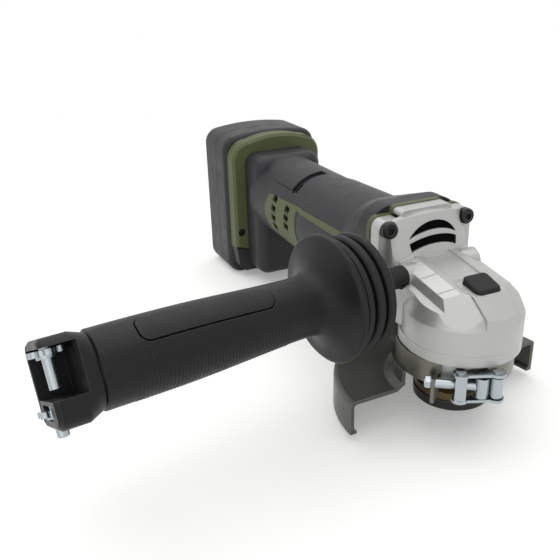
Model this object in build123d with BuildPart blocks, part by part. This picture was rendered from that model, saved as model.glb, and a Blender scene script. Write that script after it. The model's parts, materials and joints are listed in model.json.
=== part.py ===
from build123d import *
import os
from math import acos, atan2, cos, degrees, hypot, pi, radians, sin, tan

# Cordless angle grinder for 115 mm wheels, in millimetres.
# The spindle turns about Z, the wheel seats at z = 0, the battery is at +Y and the side handle at -X.

os.makedirs("parts", exist_ok=True)

# Clearances
running_gap = 0.05
slide_gap = 0.3
seat_gap = 0.1
cut_room = 1.0

# Drive line
motor_axis_z = 50.5
gear_teeth = 36
pinion_teeth = 12
gear_pitch_radius = 20.0
tooth_face = 6.0
gear_addendum = 0.75
pinion_addendum = 1.05
root_room = 0.3
tooth_backlash = 0.14
pressure_angle = 20.0
gear_hub_radius = 8.2
gear_web = 5.0
pinion_room = 1.6
pinion_shaft_radius = 2.6

# Spindle, bearings and wheel clamps
spindle_thread_radius = 7.0
spindle_end_z = -4.6
spindle_journal_radius = 6.0
spindle_collar_radius = 9.0
spindle_tip_radius = 4.0
spindle_tip_z = 56.0
spindle_bearing_radius = 16.0
spindle_bearing_width = 10.0
spindle_bearing_z = 20.0
bush_wall = 1.5
ball_room = 0.2
bearing_balls = 8
inner_flange_radius = 19.2
inner_flange_height = 7.0
lock_nut_radius = 19.7
lock_nut_height = 5.4
spanner_hole_radius = 2.5
spanner_hole_circle = 14.5

# Gear head
head_radius = 29.5
cover_top_z = 33.4
cover_ring_height = 5.7
cover_joint = 0.05
cover_neck_radius = 28.0
cover_neck_bottom_z = 14.5
cover_screw_circle = 24.2
cover_screw_radius = 2.0
cover_screw_head_radius = 3.0
cover_screw_length = 22.0
cover_screw_recess = 8.0
case_wall = 3.0
gear_room_gap = 1.0
gear_room_top_z = 49.0
deck_z = 63.1
deck_slope = 0.15
deck_back_y = 18.3
deck_recess_half_width = 8.5
deck_recess_front_y = -7.0
deck_recess_depth = 0.9
deck_recess_corner = 1.5
channel_half_width = 12.9
tile_outer_half_width = 20.0
tile_low_z = 59.9
tile_line_width = 0.5
tile_line_depth = 0.35
tile_line_lean = 26.0
ledge_inner_half_width = 21.8
ledge_high_z = 55.2
ledge_low_z = 53.8
drum_centre_y = -4.0
drum_shoulder_z = 46.0
drum_rim_z = 54.5
drum_rim_radius = 25.8
case_half_width = 25.0
facet_top_y = -13.3
facet_low_half_width = 19.8
facet_low_y = -25.9
facet_low_z = 46.4
facet_front_half_width = 10.5
facet_front_y = -31.6
facet_front_z = 48.9
spine_top_half_width = 10.2
spine_low_half_width = 9.0
spine_low_z = 51.3
spine_back_y = -6.5
spine_ramp = 2.5
spine_front_y = -22.3
spine_proud = 0.5
hood_half_width = 23.0
hood_side_z = 82.8
hood_drop = 1.0
hood_lean = 15.5
vent_face_radius = 45.0
flange_front_y = 30.0
flange_thickness = 8.0
flange_half_width = 28.5
flange_low_z = 17.0
flange_top_z = 87.4
flange_corner = 14.0
flange_ear_top_z = 83.6
flange_ear_corner = 5.0
flange_lip_half_width = 15.5
flange_lip_corner = 2.5
flange_screw_x = 23.9
flange_screw_high_z = 79.3
flange_screw_low_z = 27.0
flange_screw_radius = 2.5
flange_screw_head_radius = 4.2
flange_screw_head_height = 4.0
flange_screw_length = 19.0
vent_half_width = 14.5
vent_high_z = 82.3
vent_mid_z = 77.2
slot_vent_high_z = 75.2
slot_vent_low_z = 70.8
vent_arch = 3.4
vent_end_lean = 0.8

# Spindle lock
button_width = 14.0
button_length = 13.0
button_centre_y = -15.6
button_top_middle_z = 63.8
button_corner = 2.5
button_travel = 3.0
button_lean = 15.0
button_depth = 3.2
lock_pin_radius = 2.0
lock_pin_y = -11.0
lock_hole_count = 6
lock_spring_wall = 0.8
lock_spring_radius = 3.0
lock_spring_ahead = 2.6

# Side handle
handle_tilt = 7.2
handle_y = 19.0
handle_z = 59.0
handle_stud_radius = 4.0
boss_radius = 5.6
boss_end = 23.0
right_boss_radius = 7.0
right_boss_end = 21.6
spot_face_room = 0.6
spot_face_length = 6.0
boss_depth = 9.0
boss_hole_depth = 8.0
damper_start = 23.3
damper_neck_start = 31.0
damper_neck_radius = 7.5
damper_rib_radius = 28.0
damper_groove_radius = 22.0
damper_rib_start = 50.0
damper_rib_width = 4.2
damper_rib_pitch = 6.2
damper_ribs = 3
stud_in_grip = 28.0
stud_hex_radius = 7.0
grip_start = 68.3
grip_flange_radius = 31.0
grip_flange_thickness = 3.4
grip_neck_at = 84.0
grip_neck_radius = 14.2
grip_middle_at = 135.0
grip_middle_radius = 16.2
grip_end = 182.3
grip_end_radius = 16.8
panel_start = 103.0
panel_end = 164.0
panel_width = 12.0
panel_corner = 4.0
panel_thickness = 1.6
panel_proud = 0.4
panel_groove = 0.6
panel_roll = 22.0
end_block_start = 182.6
end_block_end = 202.0
end_block_half = 17.6
end_block_corner = 7.0
end_block_roll = 27.0
end_bevel = 1.6
end_slot = 1.8
end_slot_u = -12.7
end_spigot_radius = 8.0
end_spigot_length = 12.0
end_waist_half = 15.6
end_taper_end = 190.0
end_pocket_floor = 188.2
end_pocket_high_v = -14.0
end_pocket_low_v = 6.0
end_pocket_side_u = -13.6
end_notch_high_v = 7.6
end_notch_low_v = 13.6
end_notch_floor = 190.6
upper_stud_at = 196.8
upper_stud_tip_v = 2.6
upper_nut_v = -13.2
lower_stud_at = 198.6
lower_stud_tip_v = 21.0
lower_nut_v = 9.4
end_stud_radius = 2.5
end_nut_radius = 7.6
end_nut_thickness = 2.4
end_nut_lobes = 6
end_lobe_radius = 2.1
end_nut_collar = 1.8

# Guard
guard_radius = 61.7
guard_sheet = 2.0
guard_plate_z = 6.2
guard_skirt_bottom_z = -12.8
guard_bead_radius = 1.6
guard_lip_radius = 31.5
guard_lip_top_z = 15.6
guard_cone_radius = 35.5
guard_first_angle = 5.5
guard_sweep = 176.0
band_sheet = 1.6
band_top_z = 26.8
band_bottom_z = 14.6
band_gap_from = -140.0
band_gap_to = -127.0
clamp_pivot_angle = -95.0
clamp_pivot_radius = 36.0
clamp_tip_angle = -123.0
clamp_tip_radius = 34.6
clamp_barrel_angle = -106.0
clamp_barrel_circle = 34.2
clamp_barrel_radius = 3.5
clamp_lug_radius = 3.3
clamp_lug_bottom_z = 13.2
clamp_lug_top_z = 23.6
clamp_plate_end = 4.0
clamp_plate_waist = 2.6
clamp_top_z = 24.6
clamp_bottom_z = 11.0
clamp_sheet = 1.4
clamp_pin_radius = 1.8
clamp_bolt_radius = 2.5
clamp_bolt_z = 18.4
clamp_nut_radius = 3.2
clamp_nut_height = 2.4
tab_angle = -143.0
tab_outer_radius = 37.5
tab_bottom_z = 9.0
tab_top_z = 22.0

# Motor housing
baffle_thickness = 3.0
baffle_proud = 0.5
housing_wall = 2.8
collar_proud = 0.2
collar_length = 10.0
housing_front_radius = 30.8
housing_taper_end_y = 72.0
housing_step_radius = 29.2
housing_step_y = 122.0
housing_radius = 28.2
housing_end_y = 190.0
side_panel_back_y = 173.0
side_panel_top_z = 62.0
side_panel_low_z = 36.0
side_panel_strip_y = 70.0
side_panel_strip_z = 65.5
side_panel_inset_y = 126.0
side_panel_strip = 3.6
side_panel_foot_y = 114.0
side_panel_foot_z = 26.5
side_panel_depth = 1.2
side_panel_proud = 0.3
side_panel_top_cut = 5.0
side_panel_low_cut = 4.0
side_panel_belly_y = 148.0
side_panel_belly = 3.0
side_panel_inset_top = 2.0
side_panel_inset_low = 3.0
side_panel_inset_rise = 6.0
side_vent_length = 6.4
side_vent_rear_y = 159.0
side_vent_front_y = 140.0
side_vent_height = 4.6
side_vent_corner = 0.8
side_vent_lean = 12.0
side_vent_rear_z = 60.2
side_vent_rear_pitch = 6.3
side_vent_rear_count = 4
side_vent_front_z = 58.4
side_vent_front_pitch = 5.6
side_vent_front_count = 3

# Slide switch
switch_front_y = 144.3
switch_back_y = 168.0
switch_angle = 113.0
switch_half_angle = 25.0
switch_proud = 0.5
switch_plate = 1.2
switch_slit_y = 140.6
switch_slit_width = 2.4
switch_slit_angle = 132.0
switch_slit_half_angle = 9.0
switch_travel = 6.0
switch_leg_front_y = 159.0
switch_leg_back_y = 165.0
switch_leg_half_width = 4.0
switch_leg_end = 17.0
switch_unit_front_y = 152.2
switch_unit_back_y = 178.0
switch_unit_half_width = 9.0
switch_unit_low = 4.0
switch_unit_high = 16.4

# Motor
shaft_radius = 4.0
front_bearing_radius = 13.0
front_bearing_width = 8.0
front_bearing_y = 28.6
rear_bearing_radius = 9.5
rear_bearing_width = 6.0
rear_bearing_y = 146.0
bearing_web_front_y = 144.0
fan_y = 45.0
fan_radius = 25.5
fan_depth = 12.0
fan_room = 1.5
fan_blades = 14
can_front_y = 64.0
can_length = 66.0
can_radius = 25.0
can_wall = 2.0
magnet_thickness = 4.0
air_gap = 0.6
core_slots = 12
core_slot_width = 3.0
core_slot_depth = 6.0
core_front_y = 74.0
core_length = 40.0
winding_overhang = 9.0
winding_inner_radius = 8.0
commutator_radius = 10.5
commutator_front_y = 131.0
commutator_length = 11.0
brush_width = 6.0
brush_length = 11.0
brush_wall = 1.2

# Battery dock
shoulder_half_width_x = 25.5
shoulder_collar = 10.0
shoulder_top_z = 79.5
shoulder_bottom_z = -9.0
shoulder_depth = 23.0
shoulder_round = 8.0
shoulder_corner = 9.0
wire_hole_radius = 12.0
shoulder_wall = 2.6
frame_half_width = 34.8
frame_top_z = 87.5
frame_chamfer = 1.8
frame_leg_z = 8.0
frame_leg_slant = 5.0
frame_crown = 3.0
foot_bottom_z = -11.0
foot_inset = 1.8
frame_depth = 11.2
frame_corner = 14.0
rail_half_width = 25.0
rail_lip = 4.0
rail_lip_depth = 3.2
rail_head_depth = 4.6
rail_top_z = 70.0
dock_screw_x = 30.0
dock_screw_z = 20.0
dock_screw_length = 8.0
dock_screw_radius = 1.6
dock_screw_head_radius = 3.0

# Battery
battery_half_width = 36.8
battery_depth = 42.0
battery_top_z = 91.5
battery_bottom_z = -17.0
battery_corner = 11.0
battery_crown = 4.0
battery_edge = 4.0
battery_wall = 2.0
battery_split = 18.0
battery_seam = 0.4
cell_radius = 9.2
cell_length = 65.0
cell_pitch = 18.6
cells_high = 5
cell_middle_z = 36.9
release_height = 22.0
release_depth = 12.0
release_z = 22.0
release_y = 254.5
release_proud = 1.0
release_thickness = 3.0
release_corner = 2.0
release_travel = 1.5
battery_screw_x = 18.0
battery_screw_high_z = 86.4
battery_screw_low_z = -12.6
battery_screw_radius = 1.5
battery_boss_radius = 2.6
tongue_bottom_z = -8.0
blade_count = 4
blade_pitch = 8.0
blade_length = 11.0
blade_thickness = 0.8
blade_depth = 5.0
contact_sheet = 0.5
terminal_height = 8.0
terminal_half_width = 17.0
board_thickness = 1.6
board_bottom_z = 5.0
board_top_z = 68.0
board_y = 204.0

# Worked-out places
pinion_pitch_radius = gear_pitch_radius * pinion_teeth / gear_teeth
gear_room_radius = gear_pitch_radius + gear_addendum + gear_room_gap
flange_back_y = flange_front_y + flange_thickness
baffle_back_y = flange_back_y + baffle_thickness
cover_ring_bottom_z = cover_top_z - cover_ring_height
spindle_bearing_top_z = spindle_bearing_z + spindle_bearing_width
shoulder_back_y = housing_end_y + shoulder_depth
frame_back_y = shoulder_back_y + frame_depth
battery_front_y = frame_back_y + slide_gap
battery_back_y = battery_front_y + battery_depth
flange_centre_z = (flange_top_z + flange_low_z) / 2
flange_height = flange_top_z - flange_low_z
band_inner_radius = cover_neck_radius + seat_gap
band_outer_radius = band_inner_radius + band_sheet
handle_direction = Vector(-cos(radians(handle_tilt)), -sin(radians(handle_tilt)), 0)
handle_origin = Vector(0, handle_y, handle_z)
handle_axis = Axis(handle_origin, handle_direction)
motor_axis = Axis((0, 0, motor_axis_z), (0, 1, 0))
tube_inner_rear = housing_radius - housing_wall
foot_half_width = frame_half_width - foot_inset
board_half_width = shoulder_half_width_x - shoulder_round - 2 * slide_gap
pocket_floor_z = gear_room_top_z + case_wall + cut_room
button_bottom_z = pocket_floor_z + button_travel + slide_gap
button_top_plane = Plane(
    origin=(0, button_centre_y, button_top_middle_z),
    z_dir=(0, -sin(radians(button_lean)), cos(radians(button_lean))),
)
gear_hub_top_z = gear_room_top_z - gear_room_gap - 1.5
lock_spring_y = button_centre_y - lock_spring_ahead
cover_screw_seat_z = cover_neck_bottom_z + cover_screw_recess
pinion_end_y = front_bearing_y
stud_end = grip_start + stud_in_grip
drum_front_y = drum_centre_y - head_radius
case_top_z = deck_z + deck_slope * flange_front_y + case_wall
tile_direction = Vector(0, 1, deck_slope).normalized()
deck_plane = Plane(origin=(0, 0, deck_z), x_dir=(1, 0, 0), z_dir=(0, -deck_slope, 1))
hood_base_y = deck_back_y - (deck_z - ledge_high_z) * tan(radians(hood_lean))

vent_face_direction = Vector(0, sin(radians(hood_lean)), cos(radians(hood_lean)))
flange_screw_spots = [
    (side * flange_screw_x, height)
    for side in (-1, 1)
    for height in (flange_screw_high_z, flange_screw_low_z)
]
dock_screw_spots = [(side * dock_screw_x, dock_screw_z) for side in (-1, 1)]
tile_line_spots = [18.0, 4.0, -10.4]
cover_screw_spots = [
    (cover_screw_circle * cos(radians(turn)), cover_screw_circle * sin(radians(turn)))
    for turn in (45, 135, 225, 315)
]


def back_plane(y, z=0.0):
    """Plane facing the battery at depth y; its local x runs to -X and its local y up."""
    return Plane(origin=(0, y, z), x_dir=(-1, 0, 0), z_dir=(0, 1, 0))


def handle_plane(distance, roll=0.0):
    """Plane across the handle at a distance from the spindle; local y is up before the roll."""
    front = Vector(-handle_direction.Y, handle_direction.X, 0)
    across = front * cos(radians(roll)) + Vector(0, 0, sin(radians(roll)))
    return Plane(origin=handle_origin + handle_direction * distance, x_dir=across, z_dir=handle_direction)


def handle_profile_plane():
    """Plane through the handle axis: local x runs outwards along the handle, local y up."""
    return Plane(
        origin=handle_origin,
        x_dir=handle_direction,
        z_dir=handle_direction.cross(Vector(0, 0, 1)),
    )


def around_spindle(angle, radius, z):
    """Point at an angle and radius about the spindle."""
    return Vector(radius * cos(radians(angle)), radius * sin(radians(angle)), z)


def involute(angle):
    """Involute function of an angle in radians."""
    return tan(angle) - angle


def tooth_outline(virtual_radius, addendum, dedendum):
    """Points of one bevel tooth, tangential and outward, from involute points."""
    module_size = 2 * gear_pitch_radius / gear_teeth
    pitch_angle = pi * module_size / 4 * (1 - tooth_backlash) / virtual_radius
    pressure = radians(pressure_angle)
    base_radius = virtual_radius * cos(pressure)
    root_radius = virtual_radius - dedendum - root_room
    tip_radius = virtual_radius + addendum
    radii = [root_radius, max(base_radius, root_radius + 0.1), virtual_radius, tip_radius]
    flank = []
    for radius in radii:
        roll = acos(min(1.0, base_radius / radius))
        angle = pitch_angle + involute(pressure) - involute(roll)
        flank.append((radius * sin(angle), radius * cos(angle) - virtual_radius))
    mirrored = [(-across, height) for across, height in reversed(flank)]
    return flank + mirrored


def tooth_form(pitch_radius, mate_radius, addendum, dedendum):
    """One straight bevel tooth in its gear's own frame: apex at the origin, cone open along +Z."""
    reach = hypot(pitch_radius, mate_radius)
    generator = Vector(pitch_radius, 0, mate_radius) / reach
    virtual_radius = pitch_radius * reach / mate_radius
    outline = tooth_outline(virtual_radius, addendum, dedendum)
    inner_share = 1 - tooth_face / gear_pitch_radius
    with BuildPart() as tooth:
        for share in (1.0, inner_share):
            end_plane = Plane(
                origin=generator * reach * share, x_dir=(0, -1, 0), z_dir=generator
            )
            with BuildSketch(end_plane):
                Polygon([(share * a, share * b) for a, b in outline], align=None)
        loft(ruled=True)
    return tooth.part


def root_line(pitch_radius, mate_radius, dedendum):
    """Outer and inner ends of a gear's root line, as radius and distance from the apex along its axis."""
    reach = hypot(pitch_radius, mate_radius)
    radius = pitch_radius - dedendum * mate_radius / reach
    along = mate_radius + dedendum * pitch_radius / reach
    share = 1 - tooth_face / gear_pitch_radius
    return (radius, along), (radius * share, along * share)


def flange_outline(grow):
    """Outline shared by the gear case flange and the baffle: body, screw ears and raised top lip."""
    for top_z, low_z, half_width, corner in (
        (flange_ear_top_z, flange_low_z, flange_half_width, flange_corner),
        (flange_ear_top_z, motor_axis_z, flange_half_width, flange_ear_corner),
        (flange_top_z, motor_axis_z, flange_lip_half_width, flange_lip_corner),
    ):
        with Locations((0, (top_z + low_z) / 2)):
            RectangleRounded(2 * (half_width + grow), top_z - low_z + 2 * grow, corner + grow)


def deck_height(y):
    """Height of the sloping deck at a depth y."""
    return deck_z + deck_slope * y


def ring(outer, inner):
    """Annulus in the active sketch."""
    Circle(outer)
    Circle(inner, mode=Mode.SUBTRACT)


def grip_skin(grow, inner):
    """Ring along the straight part of the grip, from a depth under its surface to a height over it."""
    with BuildPart() as skin:
        with BuildSketch(handle_profile_plane()):
            with BuildLine():
                Spline(
                    (grip_neck_at, grip_neck_radius + grow),
                    (grip_middle_at, grip_middle_radius + grow),
                    (grip_end - 1, grip_end_radius + grow),
                    tangents=((1, 0), (1, 0)),
                )
                Line((grip_end - 1, grip_end_radius + grow), (grip_end - 1, grip_end_radius - inner))
                Spline(
                    (grip_end - 1, grip_end_radius - inner),
                    (grip_middle_at, grip_middle_radius - inner),
                    (grip_neck_at, grip_neck_radius - inner),
                    tangents=((-1, 0), (-1, 0)),
                )
                Line((grip_neck_at, grip_neck_radius - inner), (grip_neck_at, grip_neck_radius + grow))
            make_face()
        revolve(axis=handle_axis)
    return skin.part


# Gear case: drum over the gears, vent hood, flange and two handle bosses
half_profile = [
    (head_radius + 3, cover_top_z - 3 * case_wall),
    (head_radius + 3, ledge_low_z),
    (ledge_inner_half_width, ledge_high_z),
    (tile_outer_half_width, tile_low_z),
    (channel_half_width, deck_z),
]
case_profile = half_profile + [(-x, z) for x, z in reversed(half_profile)]

with BuildPart() as tile_lines:
    with BuildSketch(Plane.XY.offset(ledge_high_z)):
        for side in (-1, 1):
            for line_y in tile_line_spots:
                line_x = side * (channel_half_width + tile_outer_half_width) / 2
                with Locations(Location((line_x, line_y, 0), (0, 0, side * tile_line_lean))):
                    Rectangle(tile_outer_half_width - channel_half_width + cut_room, tile_line_width)
    extrude(amount=case_top_z - ledge_high_z)
    with BuildSketch(Plane.XZ):
        Polygon([(x, z - tile_line_depth) for x, z in case_profile], align=None)
    extrude(amount=2 * head_radius, dir=tile_direction, both=True, mode=Mode.SUBTRACT)

with BuildPart() as button_spine:
    with BuildSketch(Plane.XZ):
        Polygon(
            (-spine_top_half_width, deck_z + spine_proud),
            (-spine_low_half_width, spine_low_z),
            (-spine_low_half_width, cover_top_z + case_wall),
            (spine_low_half_width, cover_top_z + case_wall),
            (spine_low_half_width, spine_low_z),
            (spine_top_half_width, deck_z + spine_proud),
            align=None,
        )
    extrude(amount=2 * head_radius)
    with BuildSketch(Plane.YZ):
        Polygon(
            (spine_back_y, cover_top_z + case_wall),
            (spine_back_y, deck_height(spine_back_y)),
            (spine_back_y - spine_ramp, deck_height(spine_back_y - spine_ramp) + spine_proud),
            (spine_front_y, deck_height(spine_front_y) + spine_proud),
            (drum_front_y, spine_low_z),
            (drum_front_y, cover_top_z + case_wall),
            align=None,
        )
    extrude(amount=head_radius, both=True, mode=Mode.INTERSECT)
    with BuildSketch():
        with Locations((0, drum_centre_y)):
            Circle(head_radius)
    extrude(amount=flange_top_z, mode=Mode.INTERSECT)

# Vent hood, cut back along the sloping vent face
with BuildPart() as vent_hood:
    with BuildSketch(back_plane(deck_back_y - 2 * case_wall)):
        with BuildLine():
            Polyline(
                (-hood_half_width, hood_side_z),
                (-hood_half_width, ledge_high_z),
                (hood_half_width, ledge_high_z),
                (hood_half_width, hood_side_z),
            )
            ThreePointArc(
                (hood_half_width, hood_side_z),
                (0, flange_top_z - hood_drop),
                (-hood_half_width, hood_side_z),
            )
        make_face()
    extrude(amount=flange_front_y - deck_back_y + 2 * case_wall + cut_room)
    with BuildSketch(Plane.XY.offset(ledge_high_z)):
        with Locations((0, hood_base_y)):
            Rectangle(4 * head_radius, 4 * vent_face_radius)
        with Locations((0, hood_base_y + vent_face_radius)):
            Circle(vent_face_radius, mode=Mode.SUBTRACT)
        with Locations((0, hood_base_y + 2 * vent_face_radius)):
            Rectangle(4 * head_radius, 2 * vent_face_radius, mode=Mode.SUBTRACT)
    extrude(amount=2 * (flange_top_z - ledge_high_z), dir=vent_face_direction, mode=Mode.SUBTRACT)

with BuildPart() as gear_case:
    with BuildSketch(Plane.XZ.offset(-drum_centre_y)):
        Polygon(
            (0, cover_top_z),
            (head_radius, cover_top_z),
            (head_radius, drum_shoulder_z),
            (drum_rim_radius, drum_rim_z),
            (drum_rim_radius, case_top_z),
            (0, case_top_z),
            align=None,
        )
    revolve(axis=Axis((0, drum_centre_y, 0), (0, 0, 1)))
    with BuildSketch(Plane.XY.offset(cover_top_z)):
        with Locations((0, (drum_centre_y + flange_front_y) / 2)):
            Rectangle(2 * case_half_width, flange_front_y - drum_centre_y)
    extrude(amount=case_top_z - cover_top_z)
    # Deck, bevelled tiles, steep side walls and ledges, as one cross profile that climbs to the hood
    with BuildSketch(Plane.XZ):
        Polygon(case_profile, align=None)
    extrude(amount=2 * head_radius, dir=tile_direction, both=True, mode=Mode.INTERSECT)
    # Front cut under the spine, then two sloping facets at the front corners of the drum
    front_top_z = deck_height(spine_front_y) - spine_proud
    front_run = Vector(0, drum_front_y - spine_front_y, spine_low_z - front_top_z)
    front_plane = Plane(origin=(0, spine_front_y, front_top_z), z_dir=front_run.cross(Vector(1, 0, 0)))
    split(bisect_by=front_plane, keep=Keep.BOTTOM)
    for side in (-1, 1):
        facet_edge = Vector(side * tile_outer_half_width, facet_top_y, tile_low_z + deck_slope * facet_top_y)
        facet_side = Vector(side * facet_low_half_width, facet_low_y, facet_low_z)
        facet_front = Vector(side * facet_front_half_width, facet_front_y, facet_front_z)
        facet_normal = (facet_side - facet_edge).cross(facet_front - facet_edge) * -side
        split(bisect_by=Plane(origin=facet_edge, z_dir=facet_normal), keep=Keep.BOTTOM)
    # Recess in the deck and lines across the tiles
    deck_recess_length = deck_back_y + case_wall - deck_recess_front_y
    with BuildSketch(deck_plane):
        with Locations((0, deck_recess_front_y + deck_recess_length / 2)):
            RectangleRounded(2 * deck_recess_half_width, deck_recess_length, deck_recess_corner)
    extrude(amount=-deck_recess_depth, mode=Mode.SUBTRACT)
    add(tile_lines.part, mode=Mode.SUBTRACT)
    add(button_spine.part)
    add(vent_hood.part)
    # Flange that meets the motor housing
    with BuildSketch(back_plane(flange_front_y)):
        flange_outline(0)
    extrude(amount=flange_thickness)
    # Handle bosses with spot faces, left and right
    for side, side_end, side_radius in (
        (-1, boss_end, boss_radius),
        (1, right_boss_end, right_boss_radius),
    ):
        boss_direction = Vector(side * abs(handle_direction.X), handle_direction.Y, 0)
        boss_plane = Plane(origin=handle_origin, z_dir=boss_direction)
        with BuildSketch(boss_plane.offset(side_end)):
            Circle(side_radius)
        extrude(amount=-boss_depth)
        with BuildSketch(boss_plane.offset(side_end)):
            Circle(side_radius + spot_face_room)
        extrude(amount=spot_face_length, mode=Mode.SUBTRACT)
        with BuildSketch(boss_plane.offset(side_end)):
            Circle(handle_stud_radius + running_gap)
        extrude(amount=-boss_hole_depth, mode=Mode.SUBTRACT)
    # Gear room, pinion bore, bearing seat and spindle bush seat
    with BuildSketch(Plane.XY.offset(cover_top_z)):
        Circle(gear_room_radius)
    extrude(amount=gear_room_top_z - cover_top_z, mode=Mode.SUBTRACT)
    pinion_bore = pinion_pitch_radius + pinion_addendum + pinion_room
    with BuildSketch(back_plane(spindle_collar_radius, motor_axis_z)):
        Circle(pinion_bore)
    extrude(amount=flange_back_y - spindle_collar_radius, mode=Mode.SUBTRACT)
    with BuildSketch(back_plane(front_bearing_y, motor_axis_z)):
        Circle(front_bearing_radius)
    extrude(amount=flange_back_y - front_bearing_y, mode=Mode.SUBTRACT)
    with BuildSketch(Plane.XY.offset(gear_room_top_z)):
        Circle(spindle_tip_radius + running_gap + bush_wall)
    extrude(amount=spindle_tip_z + cut_room - gear_room_top_z, mode=Mode.SUBTRACT)
    # Fan outlet behind the vents
    with BuildSketch(back_plane(flange_front_y)):
        with Locations((0, (motor_axis_z + front_bearing_radius + flange_top_z) / 2)):
            Rectangle(
                2 * (hood_half_width - 2 * case_wall),
                flange_top_z - motor_axis_z - front_bearing_radius - 2 * case_wall,
            )
    extrude(amount=flange_thickness, mode=Mode.SUBTRACT)
    # Crescent vent and curved slot vent
    with BuildSketch(back_plane(deck_back_y - 2 * case_wall)):
        with BuildLine():
            ThreePointArc(
                (-vent_half_width, vent_mid_z - vent_arch),
                (0, vent_high_z),
                (vent_half_width, vent_mid_z - vent_arch),
            )
            ThreePointArc(
                (vent_half_width, vent_mid_z - vent_arch),
                (0, vent_mid_z + 0.6),
                (-vent_half_width, vent_mid_z - vent_arch),
            )
        make_face()
        with BuildLine():
            ThreePointArc(
                (-vent_half_width, slot_vent_high_z - vent_arch),
                (0, slot_vent_high_z),
                (vent_half_width, slot_vent_high_z - vent_arch),
            )
            Line(
                (vent_half_width, slot_vent_high_z - vent_arch),
                (vent_half_width - vent_end_lean, slot_vent_low_z - vent_arch),
            )
            ThreePointArc(
                (vent_half_width - vent_end_lean, slot_vent_low_z - vent_arch),
                (0, slot_vent_low_z),
                (-vent_half_width + vent_end_lean, slot_vent_low_z - vent_arch),
            )
            Line(
                (-vent_half_width + vent_end_lean, slot_vent_low_z - vent_arch),
                (-vent_half_width, slot_vent_high_z - vent_arch),
            )
        make_face()
    extrude(amount=flange_front_y - deck_back_y + 2 * case_wall + cut_room, mode=Mode.SUBTRACT)
    # Button pocket, lock pin bore and screw holes
    with BuildSketch(Plane.XY.offset(pocket_floor_z)):
        with Locations((0, button_centre_y)):
            RectangleRounded(
                button_width + 2 * slide_gap, button_length + 2 * slide_gap, button_corner + slide_gap
            )
    extrude(amount=deck_z - pocket_floor_z + spine_proud, mode=Mode.SUBTRACT)
    with BuildSketch(Plane.XY.offset(gear_room_top_z - cut_room)):
        with Locations((0, lock_pin_y)):
            Circle(lock_pin_radius + slide_gap)
    extrude(amount=pocket_floor_z - gear_room_top_z + 2 * cut_room, mode=Mode.SUBTRACT)
    with BuildSketch(back_plane(flange_front_y - cut_room)):
        with Locations(*flange_screw_spots):
            Circle(flange_screw_radius + seat_gap)
    extrude(amount=flange_thickness + 2 * cut_room, mode=Mode.SUBTRACT)
    with BuildSketch(back_plane(flange_front_y)):
        with Locations(*flange_screw_spots):
            Circle(flange_screw_head_radius + spot_face_room)
    extrude(amount=deck_back_y - flange_front_y, mode=Mode.SUBTRACT)
    with BuildSketch(Plane.XY.offset(cover_top_z)):
        with Locations(*cover_screw_spots):
            Circle(cover_screw_radius)
    extrude(amount=cover_screw_length - cover_ring_height, mode=Mode.SUBTRACT)
gear_case.part.label = "gear_case"
export_step(gear_case.part, "parts/gear_case.step")

# Bearing cover: ring under the drum, guard neck and bearing seat
with BuildPart() as bearing_cover:
    with BuildSketch(Plane.XY.offset(cover_ring_bottom_z)):
        with Locations((0, drum_centre_y)):
            Circle(head_radius)
        Circle(cover_neck_radius + cut_room)
    extrude(amount=cover_ring_height)
    with BuildSketch(Plane.XY.offset(cover_neck_bottom_z)):
        Circle(cover_neck_radius)
    extrude(amount=cover_ring_bottom_z - cover_neck_bottom_z)
    chamfer(bearing_cover.faces().sort_by(Axis.Z)[0].edges(), 0.5)
    with BuildSketch(Plane.XY.offset(spindle_bearing_z)):
        Circle(spindle_bearing_radius)
    extrude(amount=cover_top_z - spindle_bearing_z, mode=Mode.SUBTRACT)
    with BuildSketch(Plane.XY.offset(cover_neck_bottom_z)):
        Circle(spindle_bearing_radius - case_wall)
    extrude(amount=spindle_bearing_z - cover_neck_bottom_z, mode=Mode.SUBTRACT)
    with BuildSketch(Plane.XY.offset(cover_neck_bottom_z)):
        with Locations(*cover_screw_spots):
            Circle(cover_screw_radius + seat_gap)
    extrude(amount=cover_top_z - cover_neck_bottom_z, mode=Mode.SUBTRACT)
    with BuildSketch(Plane.XY.offset(cover_neck_bottom_z)):
        with Locations(*cover_screw_spots):
            Circle(cover_screw_head_radius + seat_gap)
    extrude(amount=cover_screw_seat_z - cover_neck_bottom_z, mode=Mode.SUBTRACT)
    # Joint line: the cover plate above and the guard neck below are two castings under the same screws
    with BuildSketch(Plane.XY.offset(cover_ring_bottom_z - cover_joint)):
        Circle(2 * head_radius)
    extrude(amount=cover_joint, mode=Mode.SUBTRACT)
bearing_cover.part.label = "bearing_cover"
export_step(bearing_cover.part, "parts/bearing_cover.step")

# Cover screws, from below into the gear case
with BuildPart() as cover_screws:
    with BuildSketch(Plane.XY.offset(cover_screw_seat_z)):
        with Locations(*cover_screw_spots):
            Circle(cover_screw_radius)
    extrude(amount=cover_screw_length)
    with BuildSketch(Plane.XY.offset(cover_screw_seat_z)):
        with Locations(*cover_screw_spots):
            Circle(cover_screw_head_radius)
    extrude(amount=-cover_screw_radius * 1.5)
cover_screws.part.label = "cover_screws"
export_step(cover_screws.part, "parts/cover_screws.step")

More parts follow.
